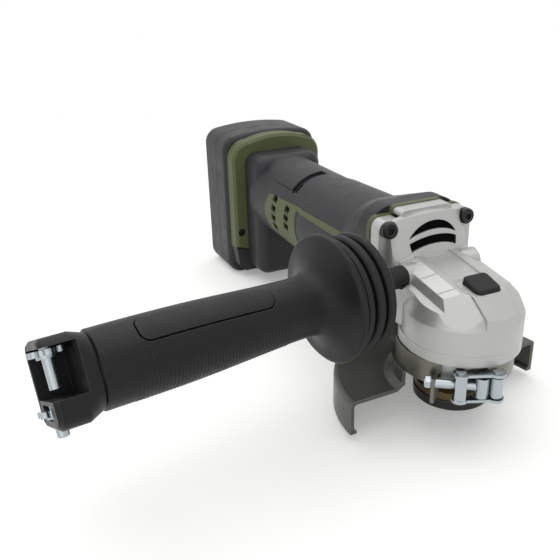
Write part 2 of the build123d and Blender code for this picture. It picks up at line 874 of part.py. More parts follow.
# Flange screws with cross-slotted pan heads
with BuildPart() as flange_screws:
    with BuildSketch(back_plane(flange_front_y)):
        with Locations(*flange_screw_spots):
            Circle(flange_screw_radius)
    extrude(amount=flange_screw_length)
    with BuildSketch(back_plane(flange_front_y)):
        with Locations(*flange_screw_spots):
            Circle(flange_screw_head_radius)
    extrude(amount=-flange_screw_head_height)
    head_rims = flange_screws.edges().filter_by(GeomType.CIRCLE).group_by(Axis.Y)[0]
    fillet(head_rims, flange_screw_head_height * 0.3)
    with BuildSketch(back_plane(flange_front_y - flange_screw_head_height)):
        with Locations(*flange_screw_spots):
            RegularPolygon(flange_screw_head_radius * 0.5, 6)
    extrude(amount=flange_screw_head_height * 0.5, mode=Mode.SUBTRACT)
flange_screws.part.label = "flange_screws"
export_step(flange_screws.part, "parts/flange_screws.step")

# Spindle: thread, collar, journal and tip
with BuildPart() as spindle:
    with BuildSketch(Plane.XZ):
        Polygon(
            (0, spindle_end_z),
            (spindle_thread_radius - 1, spindle_end_z),
            (spindle_thread_radius, spindle_end_z + 1),
            (spindle_thread_radius, inner_flange_height),
            (spindle_collar_radius, inner_flange_height),
            (spindle_collar_radius, spindle_bearing_z),
            (spindle_journal_radius, spindle_bearing_z),
            (spindle_journal_radius, gear_hub_top_z),
            (spindle_tip_radius, gear_hub_top_z),
            (spindle_tip_radius, spindle_tip_z - 0.8),
            (spindle_tip_radius - 0.8, spindle_tip_z),
            (0, spindle_tip_z),
            align=None,
        )
    revolve(axis=Axis.Z)
spindle.part.label = "spindle"
export_step(spindle.part, "parts/spindle.step")

# Needle bush at the top of the spindle
with BuildPart() as spindle_bush:
    with BuildSketch(Plane.XY.offset(gear_room_top_z)):
        ring(spindle_tip_radius + running_gap + bush_wall, spindle_tip_radius + running_gap)
    extrude(amount=spindle_tip_z - gear_room_top_z)
spindle_bush.part.label = "spindle_bush"
export_step(spindle_bush.part, "parts/spindle_bush.step")

# Bevel gear, teeth up, pressed on the spindle journal
gear_dedendum = pinion_addendum + root_room
gear_root_outer, gear_root_inner = root_line(gear_pitch_radius, pinion_pitch_radius, gear_dedendum)
gear_tooth = tooth_form(gear_pitch_radius, pinion_pitch_radius, gear_addendum, gear_dedendum)
gear_frame = Plane(origin=(0, 0, motor_axis_z), x_dir=(1, 0, 0), z_dir=(0, 0, -1))
web_top_z = motor_axis_z - gear_root_inner[1] - 0.6
lock_pin_end_z = web_top_z + button_travel + slide_gap

with BuildPart(gear_frame) as bevel_gear:
    with BuildSketch(Plane.XZ):
        Polygon(
            (spindle_journal_radius, spindle_bearing_top_z),
            (gear_hub_radius, spindle_bearing_top_z),
            (gear_hub_radius, web_top_z - gear_web),
            (gear_root_outer[0], motor_axis_z - gear_root_outer[1] - gear_web / 2),
            (gear_root_outer[0], motor_axis_z - gear_root_outer[1]),
            (gear_root_inner[0], motor_axis_z - gear_root_inner[1]),
            (gear_root_inner[0], web_top_z),
            (gear_hub_radius, web_top_z),
            (gear_hub_radius, gear_hub_top_z),
            (spindle_journal_radius, gear_hub_top_z),
            align=None,
        )
    revolve(axis=Axis.Z)
    with BuildSketch(Plane.XY.offset(web_top_z)):
        with PolarLocations(-lock_pin_y, lock_hole_count, start_angle=90):
            Circle(lock_pin_radius + slide_gap)
    extrude(amount=-2 * gear_web, mode=Mode.SUBTRACT)
    with PolarLocations(0, gear_teeth, start_angle=180 / gear_teeth):
        add(gear_tooth)
bevel_gear.part.label = "bevel_gear"
export_step(bevel_gear.part, "parts/bevel_gear.step")

# Pinion on the motor shaft
pinion_dedendum = gear_addendum + root_room
pinion_root_outer, pinion_root_inner = root_line(pinion_pitch_radius, gear_pitch_radius, pinion_dedendum)
pinion_tooth = tooth_form(pinion_pitch_radius, gear_pitch_radius, pinion_addendum, pinion_dedendum)
pinion_frame = Plane(origin=(0, 0, motor_axis_z), x_dir=(0, 0, -1), z_dir=(0, 1, 0))

with BuildPart(pinion_frame) as pinion:
    with BuildSketch(Plane.YZ):
        Polygon(
            (pinion_root_inner[1], motor_axis_z + pinion_shaft_radius),
            (pinion_root_inner[1], motor_axis_z + pinion_root_inner[0]),
            (pinion_root_outer[1], motor_axis_z + pinion_root_outer[0]),
            (pinion_end_y, motor_axis_z + pinion_root_outer[0]),
            (pinion_end_y, motor_axis_z + pinion_shaft_radius),
            align=None,
        )
    revolve(axis=motor_axis)
    with PolarLocations(0, pinion_teeth):
        add(pinion_tooth)
pinion.part.label = "pinion"
export_step(pinion.part, "parts/pinion.step")


def bearing_races(place, outer, inner, width):
    """Outer race, inner race and balls of a ball bearing, from a plane at its first face."""
    ball_circle = (outer + inner) / 2
    ball = (outer - inner) * 0.26
    half_gap = ball * 0.6
    middle = place.offset(width / 2)
    with BuildPart() as outer_race:
        with BuildSketch(place):
            ring(outer, ball_circle + half_gap)
        extrude(amount=width)
        with Locations(middle.location):
            Torus(ball_circle, ball + ball_room, mode=Mode.SUBTRACT)
    with BuildPart() as inner_race:
        with BuildSketch(place):
            ring(ball_circle - half_gap, inner)
        extrude(amount=width)
        with Locations(middle.location):
            Torus(ball_circle, ball + ball_room, mode=Mode.SUBTRACT)
    with BuildPart(middle) as balls:
        with PolarLocations(ball_circle, bearing_balls):
            Sphere(ball)
    return outer_race.part, inner_race.part, balls.part


# Spindle ball bearing in the cover
spindle_outer, spindle_inner, spindle_balls = bearing_races(
    Plane.XY.offset(spindle_bearing_z), spindle_bearing_radius, spindle_journal_radius, spindle_bearing_width
)
with BuildPart() as spindle_bearing_outer:
    add(spindle_outer)
spindle_bearing_outer.part.label = "spindle_bearing_outer"
export_step(spindle_bearing_outer.part, "parts/spindle_bearing_outer.step")

with BuildPart() as spindle_bearing_inner:
    add(spindle_inner)
spindle_bearing_inner.part.label = "spindle_bearing_inner"
export_step(spindle_bearing_inner.part, "parts/spindle_bearing_inner.step")

# Motor bearings, front in the gear case and rear in the housing
front_outer, front_inner, front_balls = bearing_races(
    back_plane(front_bearing_y, motor_axis_z), front_bearing_radius, shaft_radius, front_bearing_width
)
rear_outer, rear_inner, rear_balls = bearing_races(
    back_plane(rear_bearing_y, motor_axis_z), rear_bearing_radius, shaft_radius, rear_bearing_width
)
with BuildPart() as motor_bearing_outers:
    add(front_outer)
    add(rear_outer)
motor_bearing_outers.part.label = "motor_bearing_outers"
export_step(motor_bearing_outers.part, "parts/motor_bearing_outers.step")

with BuildPart() as motor_bearing_inners:
    add(front_inner)
    add(rear_inner)
motor_bearing_inners.part.label = "motor_bearing_inners"
export_step(motor_bearing_inners.part, "parts/motor_bearing_inners.step")

with BuildPart() as bearing_ball_sets:
    add(spindle_balls)
    add(front_balls)
    add(rear_balls)
bearing_ball_sets.part.label = "bearing_ball_sets"
export_step(bearing_ball_sets.part, "parts/bearing_ball_sets.step")

# Inner flange: the wheel's back seat, with a hub against the spindle collar
with BuildPart() as inner_flange:
    with BuildSketch(Plane.XZ):
        Polygon(
            (spindle_thread_radius + seat_gap, 0),
            (inner_flange_radius, 0),
            (inner_flange_radius, inner_flange_height * 0.6),
            (inner_flange_radius - 2, inner_flange_height * 0.8),
            (inner_flange_radius - 5, inner_flange_height),
            (spindle_thread_radius + seat_gap, inner_flange_height),
            align=None,
        )
    revolve(axis=Axis.Z)
inner_flange.part.label = "inner_flange"
export_step(inner_flange.part, "parts/inner_flange.step")

# Lock nut with two spanner holes
with BuildPart() as lock_nut:
    with BuildSketch(Plane.XY):
        ring(lock_nut_radius, spindle_thread_radius + seat_gap)
    extrude(amount=-lock_nut_height)
    chamfer(lock_nut.faces().sort_by(Axis.Z)[0].outer_wire().edges(), 0.7)
    with BuildSketch(Plane.XY.offset(-lock_nut_height)):
        with PolarLocations(spanner_hole_circle, 2):
            Circle(spanner_hole_radius)
    extrude(amount=lock_nut_height - 1.5, mode=Mode.SUBTRACT)
lock_nut.part.label = "lock_nut"
export_step(lock_nut.part, "parts/lock_nut.step")

# Spindle lock: button, pin and return spring
with BuildPart() as lock_button:
    with BuildSketch(Plane.XY.offset(button_bottom_z)):
        with Locations((0, button_centre_y)):
            RectangleRounded(button_width, button_length, button_corner)
    extrude(amount=button_top_middle_z - button_bottom_z + button_length / 2)
    split(bisect_by=button_top_plane, keep=Keep.BOTTOM)
    fillet(lock_button.faces().sort_by(Axis.Z)[-1].edges(), 1.2)
    with BuildSketch(Plane.XY.offset(button_bottom_z)):
        with Locations((0, lock_pin_y)):
            Circle(lock_pin_radius)
    extrude(amount=button_depth * 0.6, mode=Mode.SUBTRACT)
lock_button.part.label = "lock_button"
export_step(lock_button.part, "parts/lock_button.step")

with BuildPart() as lock_pin:
    with BuildSketch(Plane.XY.offset(lock_pin_end_z)):
        with Locations((0, lock_pin_y)):
            Circle(lock_pin_radius)
    extrude(amount=button_bottom_z + button_depth * 0.6 - lock_pin_end_z)
    chamfer(lock_pin.edges().filter_by(GeomType.CIRCLE).sort_by(Axis.Z)[0], 0.4)
lock_pin.part.label = "lock_pin"
export_step(lock_pin.part, "parts/lock_pin.step")

with BuildPart() as lock_spring:
    with BuildSketch(Plane.XY.offset(pocket_floor_z)):
        with Locations((0, lock_spring_y)):
            ring(lock_spring_radius, lock_spring_radius - lock_spring_wall)
    extrude(amount=button_bottom_z - pocket_floor_z)
lock_spring.part.label = "lock_spring"
export_step(lock_spring.part, "parts/lock_spring.step")

# Side handle: stud, ribbed damper, grip, inset panel and split end block
with BuildPart() as handle_stud:
    with BuildSketch(handle_plane(boss_end - boss_hole_depth + 1)):
        Circle(handle_stud_radius)
    extrude(amount=stud_end - boss_end + boss_hole_depth - 1)
    with BuildSketch(handle_plane(grip_start)):
        RegularPolygon(stud_hex_radius, 6)
    extrude(amount=grip_flange_thickness * 2)
handle_stud.part.label = "handle_stud"
export_step(handle_stud.part, "parts/handle_stud.step")

damper_points = [
    (damper_start, handle_stud_radius + seat_gap),
    (damper_start, boss_radius),
    (damper_neck_start, boss_radius),
    (damper_neck_start + 3, damper_neck_radius),
    (damper_rib_start - 4, damper_neck_radius + 1),
    (damper_rib_start, damper_groove_radius),
]
for rib in range(damper_ribs):
    rib_at = damper_rib_start + rib * damper_rib_pitch
    damper_points += [
        (rib_at, damper_rib_radius - 1),
        (rib_at + 1, damper_rib_radius),
        (rib_at + damper_rib_width - 1, damper_rib_radius),
        (rib_at + damper_rib_width, damper_rib_radius - 1),
        (rib_at + damper_rib_width, damper_groove_radius),
        (rib_at + damper_rib_pitch, damper_groove_radius),
    ]
damper_points = damper_points[:-1] + [
    (grip_start, damper_groove_radius),
    (grip_start, handle_stud_radius + seat_gap),
]
with BuildPart() as handle_damper:
    with BuildSketch(handle_profile_plane()):
        Polygon(damper_points, align=None)
    revolve(axis=handle_axis)
handle_damper.part.label = "handle_damper"
export_step(handle_damper.part, "parts/handle_damper.step")

panel_side = handle_plane((panel_start + panel_end) / 2, -panel_roll)
panel_plane = Plane(origin=panel_side.origin, x_dir=handle_direction, z_dir=panel_side.y_dir)
panel_pocket_skin = grip_skin(panel_thickness, panel_thickness + seat_gap)
panel_skin = grip_skin(panel_proud, panel_thickness)

with BuildPart() as panel_pocket:
    with BuildSketch(panel_plane):
        RectangleRounded(
            panel_end - panel_start + 2 * panel_groove,
            panel_width + 2 * panel_groove,
            panel_corner + panel_groove,
        )
    extrude(amount=2 * grip_end_radius)
    add(panel_pocket_skin, mode=Mode.INTERSECT)

with BuildPart() as grip_panel:
    with BuildSketch(panel_plane):
        RectangleRounded(panel_end - panel_start, panel_width, panel_corner)
    extrude(amount=2 * grip_end_radius)
    add(panel_skin, mode=Mode.INTERSECT)
grip_panel.part.label = "grip_panel"
export_step(grip_panel.part, "parts/grip_panel.step")

with BuildPart() as handle_grip:
    with BuildSketch(handle_profile_plane()):
        with BuildLine():
            Polyline(
                (grip_end, 0),
                (stud_end, 0),
                (stud_end, handle_stud_radius + seat_gap),
                (grip_start, handle_stud_radius + seat_gap),
                (grip_start, grip_flange_radius - 1),
                (grip_start + 1, grip_flange_radius),
                (grip_start + grip_flange_thickness - 1, grip_flange_radius),
                (grip_start + grip_flange_thickness, grip_flange_radius - 1),
            )
            Spline(
                (grip_start + grip_flange_thickness, grip_flange_radius - 1),
                (grip_start + grip_flange_thickness + 3.5, grip_neck_radius + 5),
                (grip_neck_at, grip_neck_radius),
                tangents=((0.2, -1), (1, 0)),
            )
            Spline(
                (grip_neck_at, grip_neck_radius),
                (grip_middle_at, grip_middle_radius),
                (grip_end - 1, grip_end_radius),
                tangents=((1, 0), (1, 0)),
            )
            Polyline(
                (grip_end - 1, grip_end_radius),
                (grip_end, grip_end_radius - 1),
                (grip_end, 0),
            )
        make_face()
    revolve(axis=handle_axis)
    with BuildSketch(handle_plane(grip_start)):
        RegularPolygon(stud_hex_radius + seat_gap, 6)
    extrude(amount=grip_flange_thickness * 2, mode=Mode.SUBTRACT)
    with BuildSketch(handle_plane(grip_end)):
        Circle(end_spigot_radius)
    extrude(amount=-end_spigot_length, mode=Mode.SUBTRACT)
    add(panel_pocket.part, mode=Mode.SUBTRACT)
handle_grip.part.label = "handle_grip"
export_step(handle_grip.part, "parts/handle_grip.step")


def end_plane(along, drop):
    """Plane across the end block's studs: its normal runs down the rolled block, from a drop off the axis."""
    rolled = handle_plane(along, end_block_roll)
    down = rolled.y_dir * -1
    return Plane(origin=rolled.origin + down * drop, x_dir=rolled.x_dir, z_dir=down)


def end_box(floor, low_u, high_u, high_v, low_v):
    """Box from the end face of the handle block down to a floor, between two sides and two drops."""
    with BuildPart() as box:
        with BuildSketch(handle_plane(floor, end_block_roll)):
            with Locations(((low_u + high_u) / 2, -(high_v + low_v) / 2)):
                Rectangle(high_u - low_u, low_v - high_v)
        extrude(amount=end_block_end - floor + 1)
    return box.part


end_pocket = end_box(
    end_pocket_floor, end_pocket_side_u, end_block_half + 1, end_pocket_high_v, end_pocket_low_v
)
end_notch = end_box(
    end_notch_floor,
    -end_nut_radius - slide_gap,
    end_nut_radius + slide_gap,
    end_notch_high_v,
    end_notch_low_v,
)
end_split = end_box(
    end_notch_floor,
    end_slot_u - end_slot / 2,
    end_slot_u + end_slot / 2,
    end_pocket_low_v - 1,
    end_block_half + 1,
)

with BuildPart() as end_block:
    with BuildSketch(handle_plane(end_block_start, end_block_roll)):
        RectangleRounded(2 * end_waist_half, 2 * end_waist_half, end_waist_half * 0.8)
    with BuildSketch(handle_plane(end_taper_end, end_block_roll)):
        RectangleRounded(2 * end_block_half, 2 * end_block_half, end_block_corner)
    loft()
    with BuildSketch(handle_plane(end_taper_end, end_block_roll)):
        RectangleRounded(2 * end_block_half, 2 * end_block_half, end_block_corner)
    extrude(amount=end_block_end - end_bevel - end_taper_end)
    with BuildSketch(handle_plane(end_block_end - end_bevel, end_block_roll)):
        RectangleRounded(2 * end_block_half, 2 * end_block_half, end_block_corner)
    with BuildSketch(handle_plane(end_block_end, end_block_roll)):
        end_face_half = end_block_half - end_bevel
        RectangleRounded(2 * end_face_half, 2 * end_face_half, end_block_corner - end_bevel)
    loft()
    with BuildSketch(handle_plane(end_block_start)):
        Circle(end_spigot_radius - seat_gap)
    extrude(amount=-end_spigot_length)
    for hollow in (end_pocket, end_notch, end_split):
        add(hollow, mode=Mode.SUBTRACT)
    with BuildSketch(end_plane(upper_stud_at, -end_block_half - 1)):
        Circle(end_stud_radius)
    extrude(amount=end_block_half, mode=Mode.SUBTRACT)
    with BuildSketch(end_plane(lower_stud_at, end_pocket_low_v - 1)):
        Circle(end_stud_radius)
    extrude(amount=end_block_half, mode=Mode.SUBTRACT)
end_block.part.label = "end_block"
export_step(end_block.part, "parts/end_block.step")

with BuildPart() as end_studs:
    with BuildSketch(end_plane(upper_stud_at, -end_block_half)):
        Circle(end_stud_radius)
    extrude(amount=end_block_half + upper_stud_tip_v)
    with BuildSketch(end_plane(lower_stud_at, end_pocket_low_v)):
        Circle(end_stud_radius)
    extrude(amount=lower_stud_tip_v - end_pocket_low_v)
    stud_tips = end_studs.faces().filter_by(GeomType.PLANE).edges().sort_by(Axis.Z)[:1]
    chamfer(stud_tips, 0.6)
end_studs.part.label = "end_studs"
export_step(end_studs.part, "parts/end_studs.step")


def star_nut(place):
    """Lobed thumb nut with a collar, from the plane of its first face."""
    with BuildPart() as nut:
        with BuildSketch(place):
            Circle(end_nut_radius - end_lobe_radius)
            with PolarLocations(end_nut_radius - end_lobe_radius, end_nut_lobes):
                Circle(end_lobe_radius)
        extrude(amount=end_nut_thickness)
        with BuildSketch(place.offset(end_nut_thickness)):
            Circle(end_stud_radius + end_nut_collar)
        extrude(amount=end_nut_thickness / 2)
        with BuildSketch(place):
            Circle(end_stud_radius + running_gap)
        extrude(amount=2 * end_nut_thickness, mode=Mode.SUBTRACT)
    return nut.part


upper_nut = star_nut(end_plane(upper_stud_at, upper_nut_v))
lower_nut = star_nut(end_plane(lower_stud_at, lower_nut_v))

with BuildPart() as star_nut_upper:
    add(upper_nut)
star_nut_upper.part.label = "star_nut_upper"
export_step(star_nut_upper.part, "parts/star_nut_upper.step")

with BuildPart() as star_nut_lower:
    add(lower_nut)
star_nut_lower.part.label = "star_nut_lower"
export_step(star_nut_lower.part, "parts/star_nut_lower.step")

# Guard: pressed shell with a rolled rim
guard_inner_radius = guard_radius - guard_sheet
guard_under_z = guard_plate_z - guard_sheet
with BuildPart() as guard_shell:
    with BuildSketch(Plane.XZ.rotated((0, 0, guard_first_angle))):
        Polygon(
            (band_outer_radius + seat_gap, guard_lip_top_z),
            (guard_lip_radius, guard_lip_top_z),
            (guard_lip_radius, guard_plate_z + guard_sheet),
            (guard_cone_radius, guard_plate_z),
            (guard_radius - guard_sheet, guard_plate_z),
            (guard_radius - 0.6, guard_plate_z - 0.6),
            (guard_radius, guard_plate_z - guard_sheet),
            (guard_radius, guard_skirt_bottom_z),
            (guard_inner_radius - guard_bead_radius, guard_skirt_bottom_z),
            (guard_inner_radius - guard_bead_radius, guard_skirt_bottom_z + guard_bead_radius),
            (guard_inner_radius, guard_skirt_bottom_z + 2 * guard_bead_radius),
            (guard_inner_radius, guard_under_z - 1),
            (guard_inner_radius - 1, guard_under_z),
            (guard_cone_radius - 1, guard_under_z),
            (band_outer_radius + seat_gap, guard_plate_z + guard_sheet - 1),
            align=None,
        )
    revolve(axis=Axis.Z, revolution_arc=guard_sweep)
guard_shell.part.label = "guard_shell"
export_step(guard_shell.part, "parts/guard_shell.step")

# Guard band: split ring round the neck, with one end bent out as a tab
band_gap_middle = (band_gap_from + band_gap_to) / 2
band_gap_half = (band_gap_to - band_gap_from) / 2
clamp_pivot = around_spindle(clamp_pivot_angle, clamp_pivot_radius, 0)
clamp_tip = around_spindle(clamp_tip_angle, clamp_tip_radius, 0)
clamp_barrel = around_spindle(clamp_barrel_angle, clamp_barrel_circle, 0)
tab_centre = around_spindle(tab_angle, (band_outer_radius + tab_outer_radius) / 2, 0)
bolt_start = Vector(clamp_barrel.X, clamp_barrel.Y, clamp_bolt_z)
bolt_through = Vector(tab_centre.X, tab_centre.Y, clamp_bolt_z)
bolt_direction = (bolt_through - bolt_start).normalized()
bolt_reach = (bolt_through - bolt_start).length + clamp_nut_height + band_sheet + 1.0
nut_start = bolt_reach - clamp_nut_height - 0.5
bolt_plane = Plane(origin=bolt_start, x_dir=(0, 0, 1), z_dir=bolt_direction)

with BuildPart() as guard_band:
    with BuildSketch(Plane.XY.offset(band_bottom_z)):
        ring(band_outer_radius, band_inner_radius)
        with Locations(Location((0, 0, 0), (0, 0, band_gap_middle))):
            Polygon(
                (0, 0),
                (2 * head_radius, -2 * head_radius * tan(radians(band_gap_half))),
                (2 * head_radius, 2 * head_radius * tan(radians(band_gap_half))),
                align=None,
                mode=Mode.SUBTRACT,
            )
    extrude(amount=band_top_z - band_bottom_z)
    with BuildSketch(Plane.XY.offset(tab_bottom_z)):
        with Locations(Location((0, 0, 0), (0, 0, tab_angle))):
            with Locations(((band_inner_radius + 1 + tab_outer_radius) / 2, 0)):
                Rectangle(tab_outer_radius - band_inner_radius - 1, band_sheet)
    extrude(amount=tab_top_z - tab_bottom_z)
    with BuildSketch(Plane.XY.offset(tab_bottom_z)):
        Circle(cover_neck_radius + seat_gap)
    extrude(amount=band_bottom_z - tab_bottom_z, mode=Mode.SUBTRACT)
    with BuildSketch(bolt_plane):
        Circle(clamp_bolt_radius + seat_gap)
    extrude(amount=bolt_reach, mode=Mode.SUBTRACT)
guard_band.part.label = "guard_band"
export_step(guard_band.part, "parts/guard_band.step")

# Clamp trunnion: barrel that takes the bolt, and the lever's pivot lug on the band
with BuildPart() as clamp_trunnion:
    with BuildSketch(Plane.XY.offset(clamp_lug_bottom_z)):
        with Locations((clamp_barrel.X, clamp_barrel.Y)):
            Circle(clamp_barrel_radius)
        with Locations((clamp_pivot.X, clamp_pivot.Y)):
            Circle(clamp_lug_radius)
        Polygon(
            (clamp_barrel.X, clamp_barrel.Y),
            (clamp_pivot.X, clamp_pivot.Y),
            around_spindle(clamp_pivot_angle, band_outer_radius, 0),
            around_spindle(clamp_barrel_angle, band_outer_radius, 0),
            align=None,
        )
        Circle(band_outer_radius, mode=Mode.SUBTRACT)
        with Locations((clamp_pivot.X, clamp_pivot.Y)):
            Circle(clamp_pin_radius + seat_gap, mode=Mode.SUBTRACT)
    extrude(amount=clamp_lug_top_z - clamp_lug_bottom_z)
    with BuildSketch(bolt_plane):
        Circle(clamp_bolt_radius)
    extrude(amount=2 * clamp_barrel_radius, mode=Mode.SUBTRACT)
clamp_trunnion.part.label = "clamp_trunnion"
export_step(clamp_trunnion.part, "parts/clamp_trunnion.step")

with BuildPart() as clamp_bolt:
    with BuildSketch(bolt_plane):
        Circle(clamp_bolt_radius)
    extrude(amount=bolt_reach)
    with BuildSketch(bolt_plane.offset(nut_start)):
        RegularPolygon(clamp_nut_radius, 6)
    extrude(amount=clamp_nut_height)
clamp_bolt.part.label = "clamp_bolt"
export_step(clamp_bolt.part, "parts/clamp_bolt.step")


def clamp_plate():
    """Plan of one lever plate: round ends at the pivot and the tip, and a waist between them."""
    with Locations((clamp_pivot.X, clamp_pivot.Y), (clamp_tip.X, clamp_tip.Y)):
        Circle(clamp_plate_end)
    middle = (clamp_pivot + clamp_tip) / 2
    run = clamp_tip - clamp_pivot
    with Locations(Location((middle.X, middle.Y, 0), (0, 0, degrees(atan2(run.Y, run.X))))):
        Rectangle(run.length, 2 * clamp_plate_waist)


# Clamp lever: two plates joined by a web at the tip
with BuildPart() as clamp_lever:
    for plate_z in (clamp_bottom_z, clamp_top_z):
        with BuildSketch(Plane.XY.offset(plate_z)):
            clamp_plate()
            with Locations((clamp_pivot.X, clamp_pivot.Y), (clamp_tip.X, clamp_tip.Y)):
                Circle(clamp_pin_radius, mode=Mode.SUBTRACT)
        extrude(amount=clamp_sheet)
    with BuildSketch(Plane.XY.offset(clamp_bottom_z)):
        with Locations(Location((0, 0, 0), (0, 0, clamp_tip_angle))):
            with Locations((clamp_tip_radius + clamp_plate_end - clamp_sheet, 0)):
                Rectangle(clamp_sheet, 2 * clamp_plate_waist)
    extrude(amount=clamp_top_z + clamp_sheet - clamp_bottom_z)
clamp_lever.part.label = "clamp_lever"
export_step(clamp_lever.part, "parts/clamp_lever.step")

with BuildPart() as clamp_rivets:
    with BuildSketch(Plane.XY.offset(clamp_bottom_z)):
        with Locations((clamp_pivot.X, clamp_pivot.Y)):
            Circle(clamp_pin_radius)
    extrude(amount=clamp_top_z + clamp_sheet - clamp_bottom_z)
    with BuildSketch(Plane.XY.offset(clamp_top_z)):
        with Locations((clamp_tip.X, clamp_tip.Y)):
            Circle(clamp_pin_radius)
    extrude(amount=clamp_sheet)
    with BuildSketch(Plane.XY.offset(clamp_bottom_z)):
        with Locations((clamp_tip.X, clamp_tip.Y)):
            Circle(clamp_pin_radius)
    extrude(amount=clamp_sheet)
    with BuildSketch(Plane.XY.offset(clamp_top_z + clamp_sheet)):
        with Locations((clamp_pivot.X, clamp_pivot.Y), (clamp_tip.X, clamp_tip.Y)):
            Circle(clamp_pin_radius * 1.35)
    extrude(amount=clamp_sheet * 0.6)
clamp_rivets.part.label = "clamp_rivets"
export_step(clamp_rivets.part, "parts/clamp_rivets.step")

# Baffle ring between the gear case and the motor housing
with BuildPart() as baffle_ring:
    with BuildSketch(back_plane(flange_back_y)):
        flange_outline(baffle_proud)
        with Locations((0, motor_axis_z)):
            Circle(fan_radius + 1, mode=Mode.SUBTRACT)
        with Locations(*flange_screw_spots):
            Circle(flange_screw_radius + seat_gap, mode=Mode.SUBTRACT)
    extrude(amount=baffle_thickness)
baffle_ring.part.label = "baffle_ring"
export_step(baffle_ring.part, "parts/baffle_ring.step")


def housing_skin(grow, depth):
    """Ring on the outside of the motor housing tube, from a depth under its skin to a height over it."""
    outline = [
        (housing_taper_end_y - 2 * collar_length, housing_front_radius),
        (housing_taper_end_y, housing_front_radius),
        (housing_step_y, housing_step_radius),
        (housing_step_y, housing_radius),
        (housing_end_y, housing_radius),
    ]
    over = [(y, motor_axis_z + radius + grow) for y, radius in outline]
    under = [(y, motor_axis_z + radius - depth) for y, radius in reversed(outline)]
    with BuildPart() as skin:
        with BuildSketch(Plane.YZ):
            Polygon(over + under, align=None)
        revolve(axis=motor_axis)
    return skin.part


with BuildSketch() as side_panel_outline:
    with BuildLine():
        ThreePointArc(
            (side_panel_back_y - side_panel_top_cut, side_panel_top_z),
            (side_panel_back_y, (side_panel_top_z + side_panel_low_z) / 2),
            (side_panel_back_y - side_panel_low_cut, side_panel_low_z),
        )
        Polyline(
            (side_panel_back_y - side_panel_low_cut, side_panel_low_z),
            (side_panel_belly_y, side_panel_low_z - side_panel_belly),
            (side_panel_foot_y, side_panel_foot_z),
            (side_panel_foot_y, side_panel_foot_z + side_panel_strip),
            (side_panel_inset_y + side_panel_inset_low, side_panel_low_z - cut_room),
            (side_panel_inset_y, side_panel_low_z + side_panel_inset_rise),
            (side_panel_inset_y + side_panel_inset_top, side_panel_top_z - cut_room),
            (side_panel_strip_y, side_panel_strip_z - side_panel_strip),
            (side_panel_strip_y, side_panel_strip_z),
            (side_panel_back_y - side_panel_top_cut, side_panel_top_z),
        )
    make_face()

side_vent_spots = [
    (side_vent_rear_y, side_vent_rear_z - row * side_vent_rear_pitch) for row in range(side_vent_rear_count)
]
side_vent_spots += [
    (side_vent_front_y, side_vent_front_z - row * side_vent_front_pitch) for row in range(side_vent_front_count)
]


def side_vents():
    """Vent slots in the side panel, two columns."""
    with Locations(*side_vent_spots):
        RectangleRounded(side_vent_length, side_vent_height, side_vent_corner, rotation=side_vent_lean)


side_pockets = {}
side_pocket_skin = housing_skin(side_panel_depth, side_panel_depth)
side_panel_skin = housing_skin(side_panel_proud, side_panel_depth - running_gap)
for facing, side_name in ((-1, "left"), (1, "right")):
    with BuildPart() as side_pocket:
        with BuildSketch(Plane.YZ):
            add(side_panel_outline.sketch)
            offset(amount=seat_gap)
        extrude(amount=facing * 2 * housing_front_radius)
        add(side_pocket_skin, mode=Mode.INTERSECT)
    side_pockets[facing] = side_pocket
    with BuildPart() as side_panel:
        with BuildSketch(Plane.YZ):
            add(side_panel_outline.sketch)
        extrude(amount=facing * 2 * housing_front_radius)
        add(side_panel_skin, mode=Mode.INTERSECT)
        with BuildSketch(Plane.YZ):
            side_vents()
        extrude(amount=facing * 2 * housing_front_radius, mode=Mode.SUBTRACT)
    side_panel.part.label = "side_panel_" + side_name
    export_step(side_panel.part, "parts/side_panel_" + side_name + ".step")


def tube_sector(outer, inner, half_angle, angle):
    """Sector of a ring round the motor axis, centred on an angle, in the active sketch."""
    with Locations((0, motor_axis_z)):
        ring(outer, inner)
        with Locations(Location((0, 0, 0), (0, 0, 180 - angle))):
            Polygon(
                (0, 0),
                (2 * outer, -2 * outer * tan(radians(half_angle))),
                (2 * outer, 2 * outer * tan(radians(half_angle))),
                align=None,
                mode=Mode.INTERSECT,
            )


# Slide switch: thumb plate in its recess, a slot for the leg that works the switch, and a slit
slot_half_angle = switch_half_angle + degrees(slide_gap / housing_radius)
with BuildPart() as switch_slot:
    with BuildSketch(back_plane(switch_front_y - switch_travel - slide_gap)):
        slot_floor = housing_radius - switch_plate - slide_gap
        tube_sector(housing_radius + cut_room, slot_floor, slot_half_angle, switch_angle)
    extrude(amount=switch_back_y - switch_front_y + switch_travel + 2 * slide_gap)
    with BuildSketch(back_plane(switch_leg_front_y - switch_travel - slide_gap)):
        with Locations(Location((0, motor_axis_z, 0), (0, 0, 180 - switch_angle))):
            with Locations((tube_inner_rear, 0)):
                Rectangle(4 * housing_wall, 2 * (switch_leg_half_width + slide_gap))
    extrude(amount=switch_leg_back_y - switch_leg_front_y + switch_travel + 2 * slide_gap)
    with BuildSketch(back_plane(switch_slit_y)):
        tube_sector(housing_radius + cut_room, can_radius - cut_room, switch_slit_half_angle, switch_slit_angle)
    extrude(amount=switch_slit_width)

with BuildPart() as switch_slider:
    with BuildSketch(back_plane(switch_front_y)):
        plate_under = housing_radius - switch_plate
        tube_sector(housing_radius + switch_proud, plate_under, switch_half_angle, switch_angle)
    extrude(amount=switch_back_y - switch_front_y)
switch_slider.part.label = "switch_slider"
export_step(switch_slider.part, "parts/switch_slider.step")

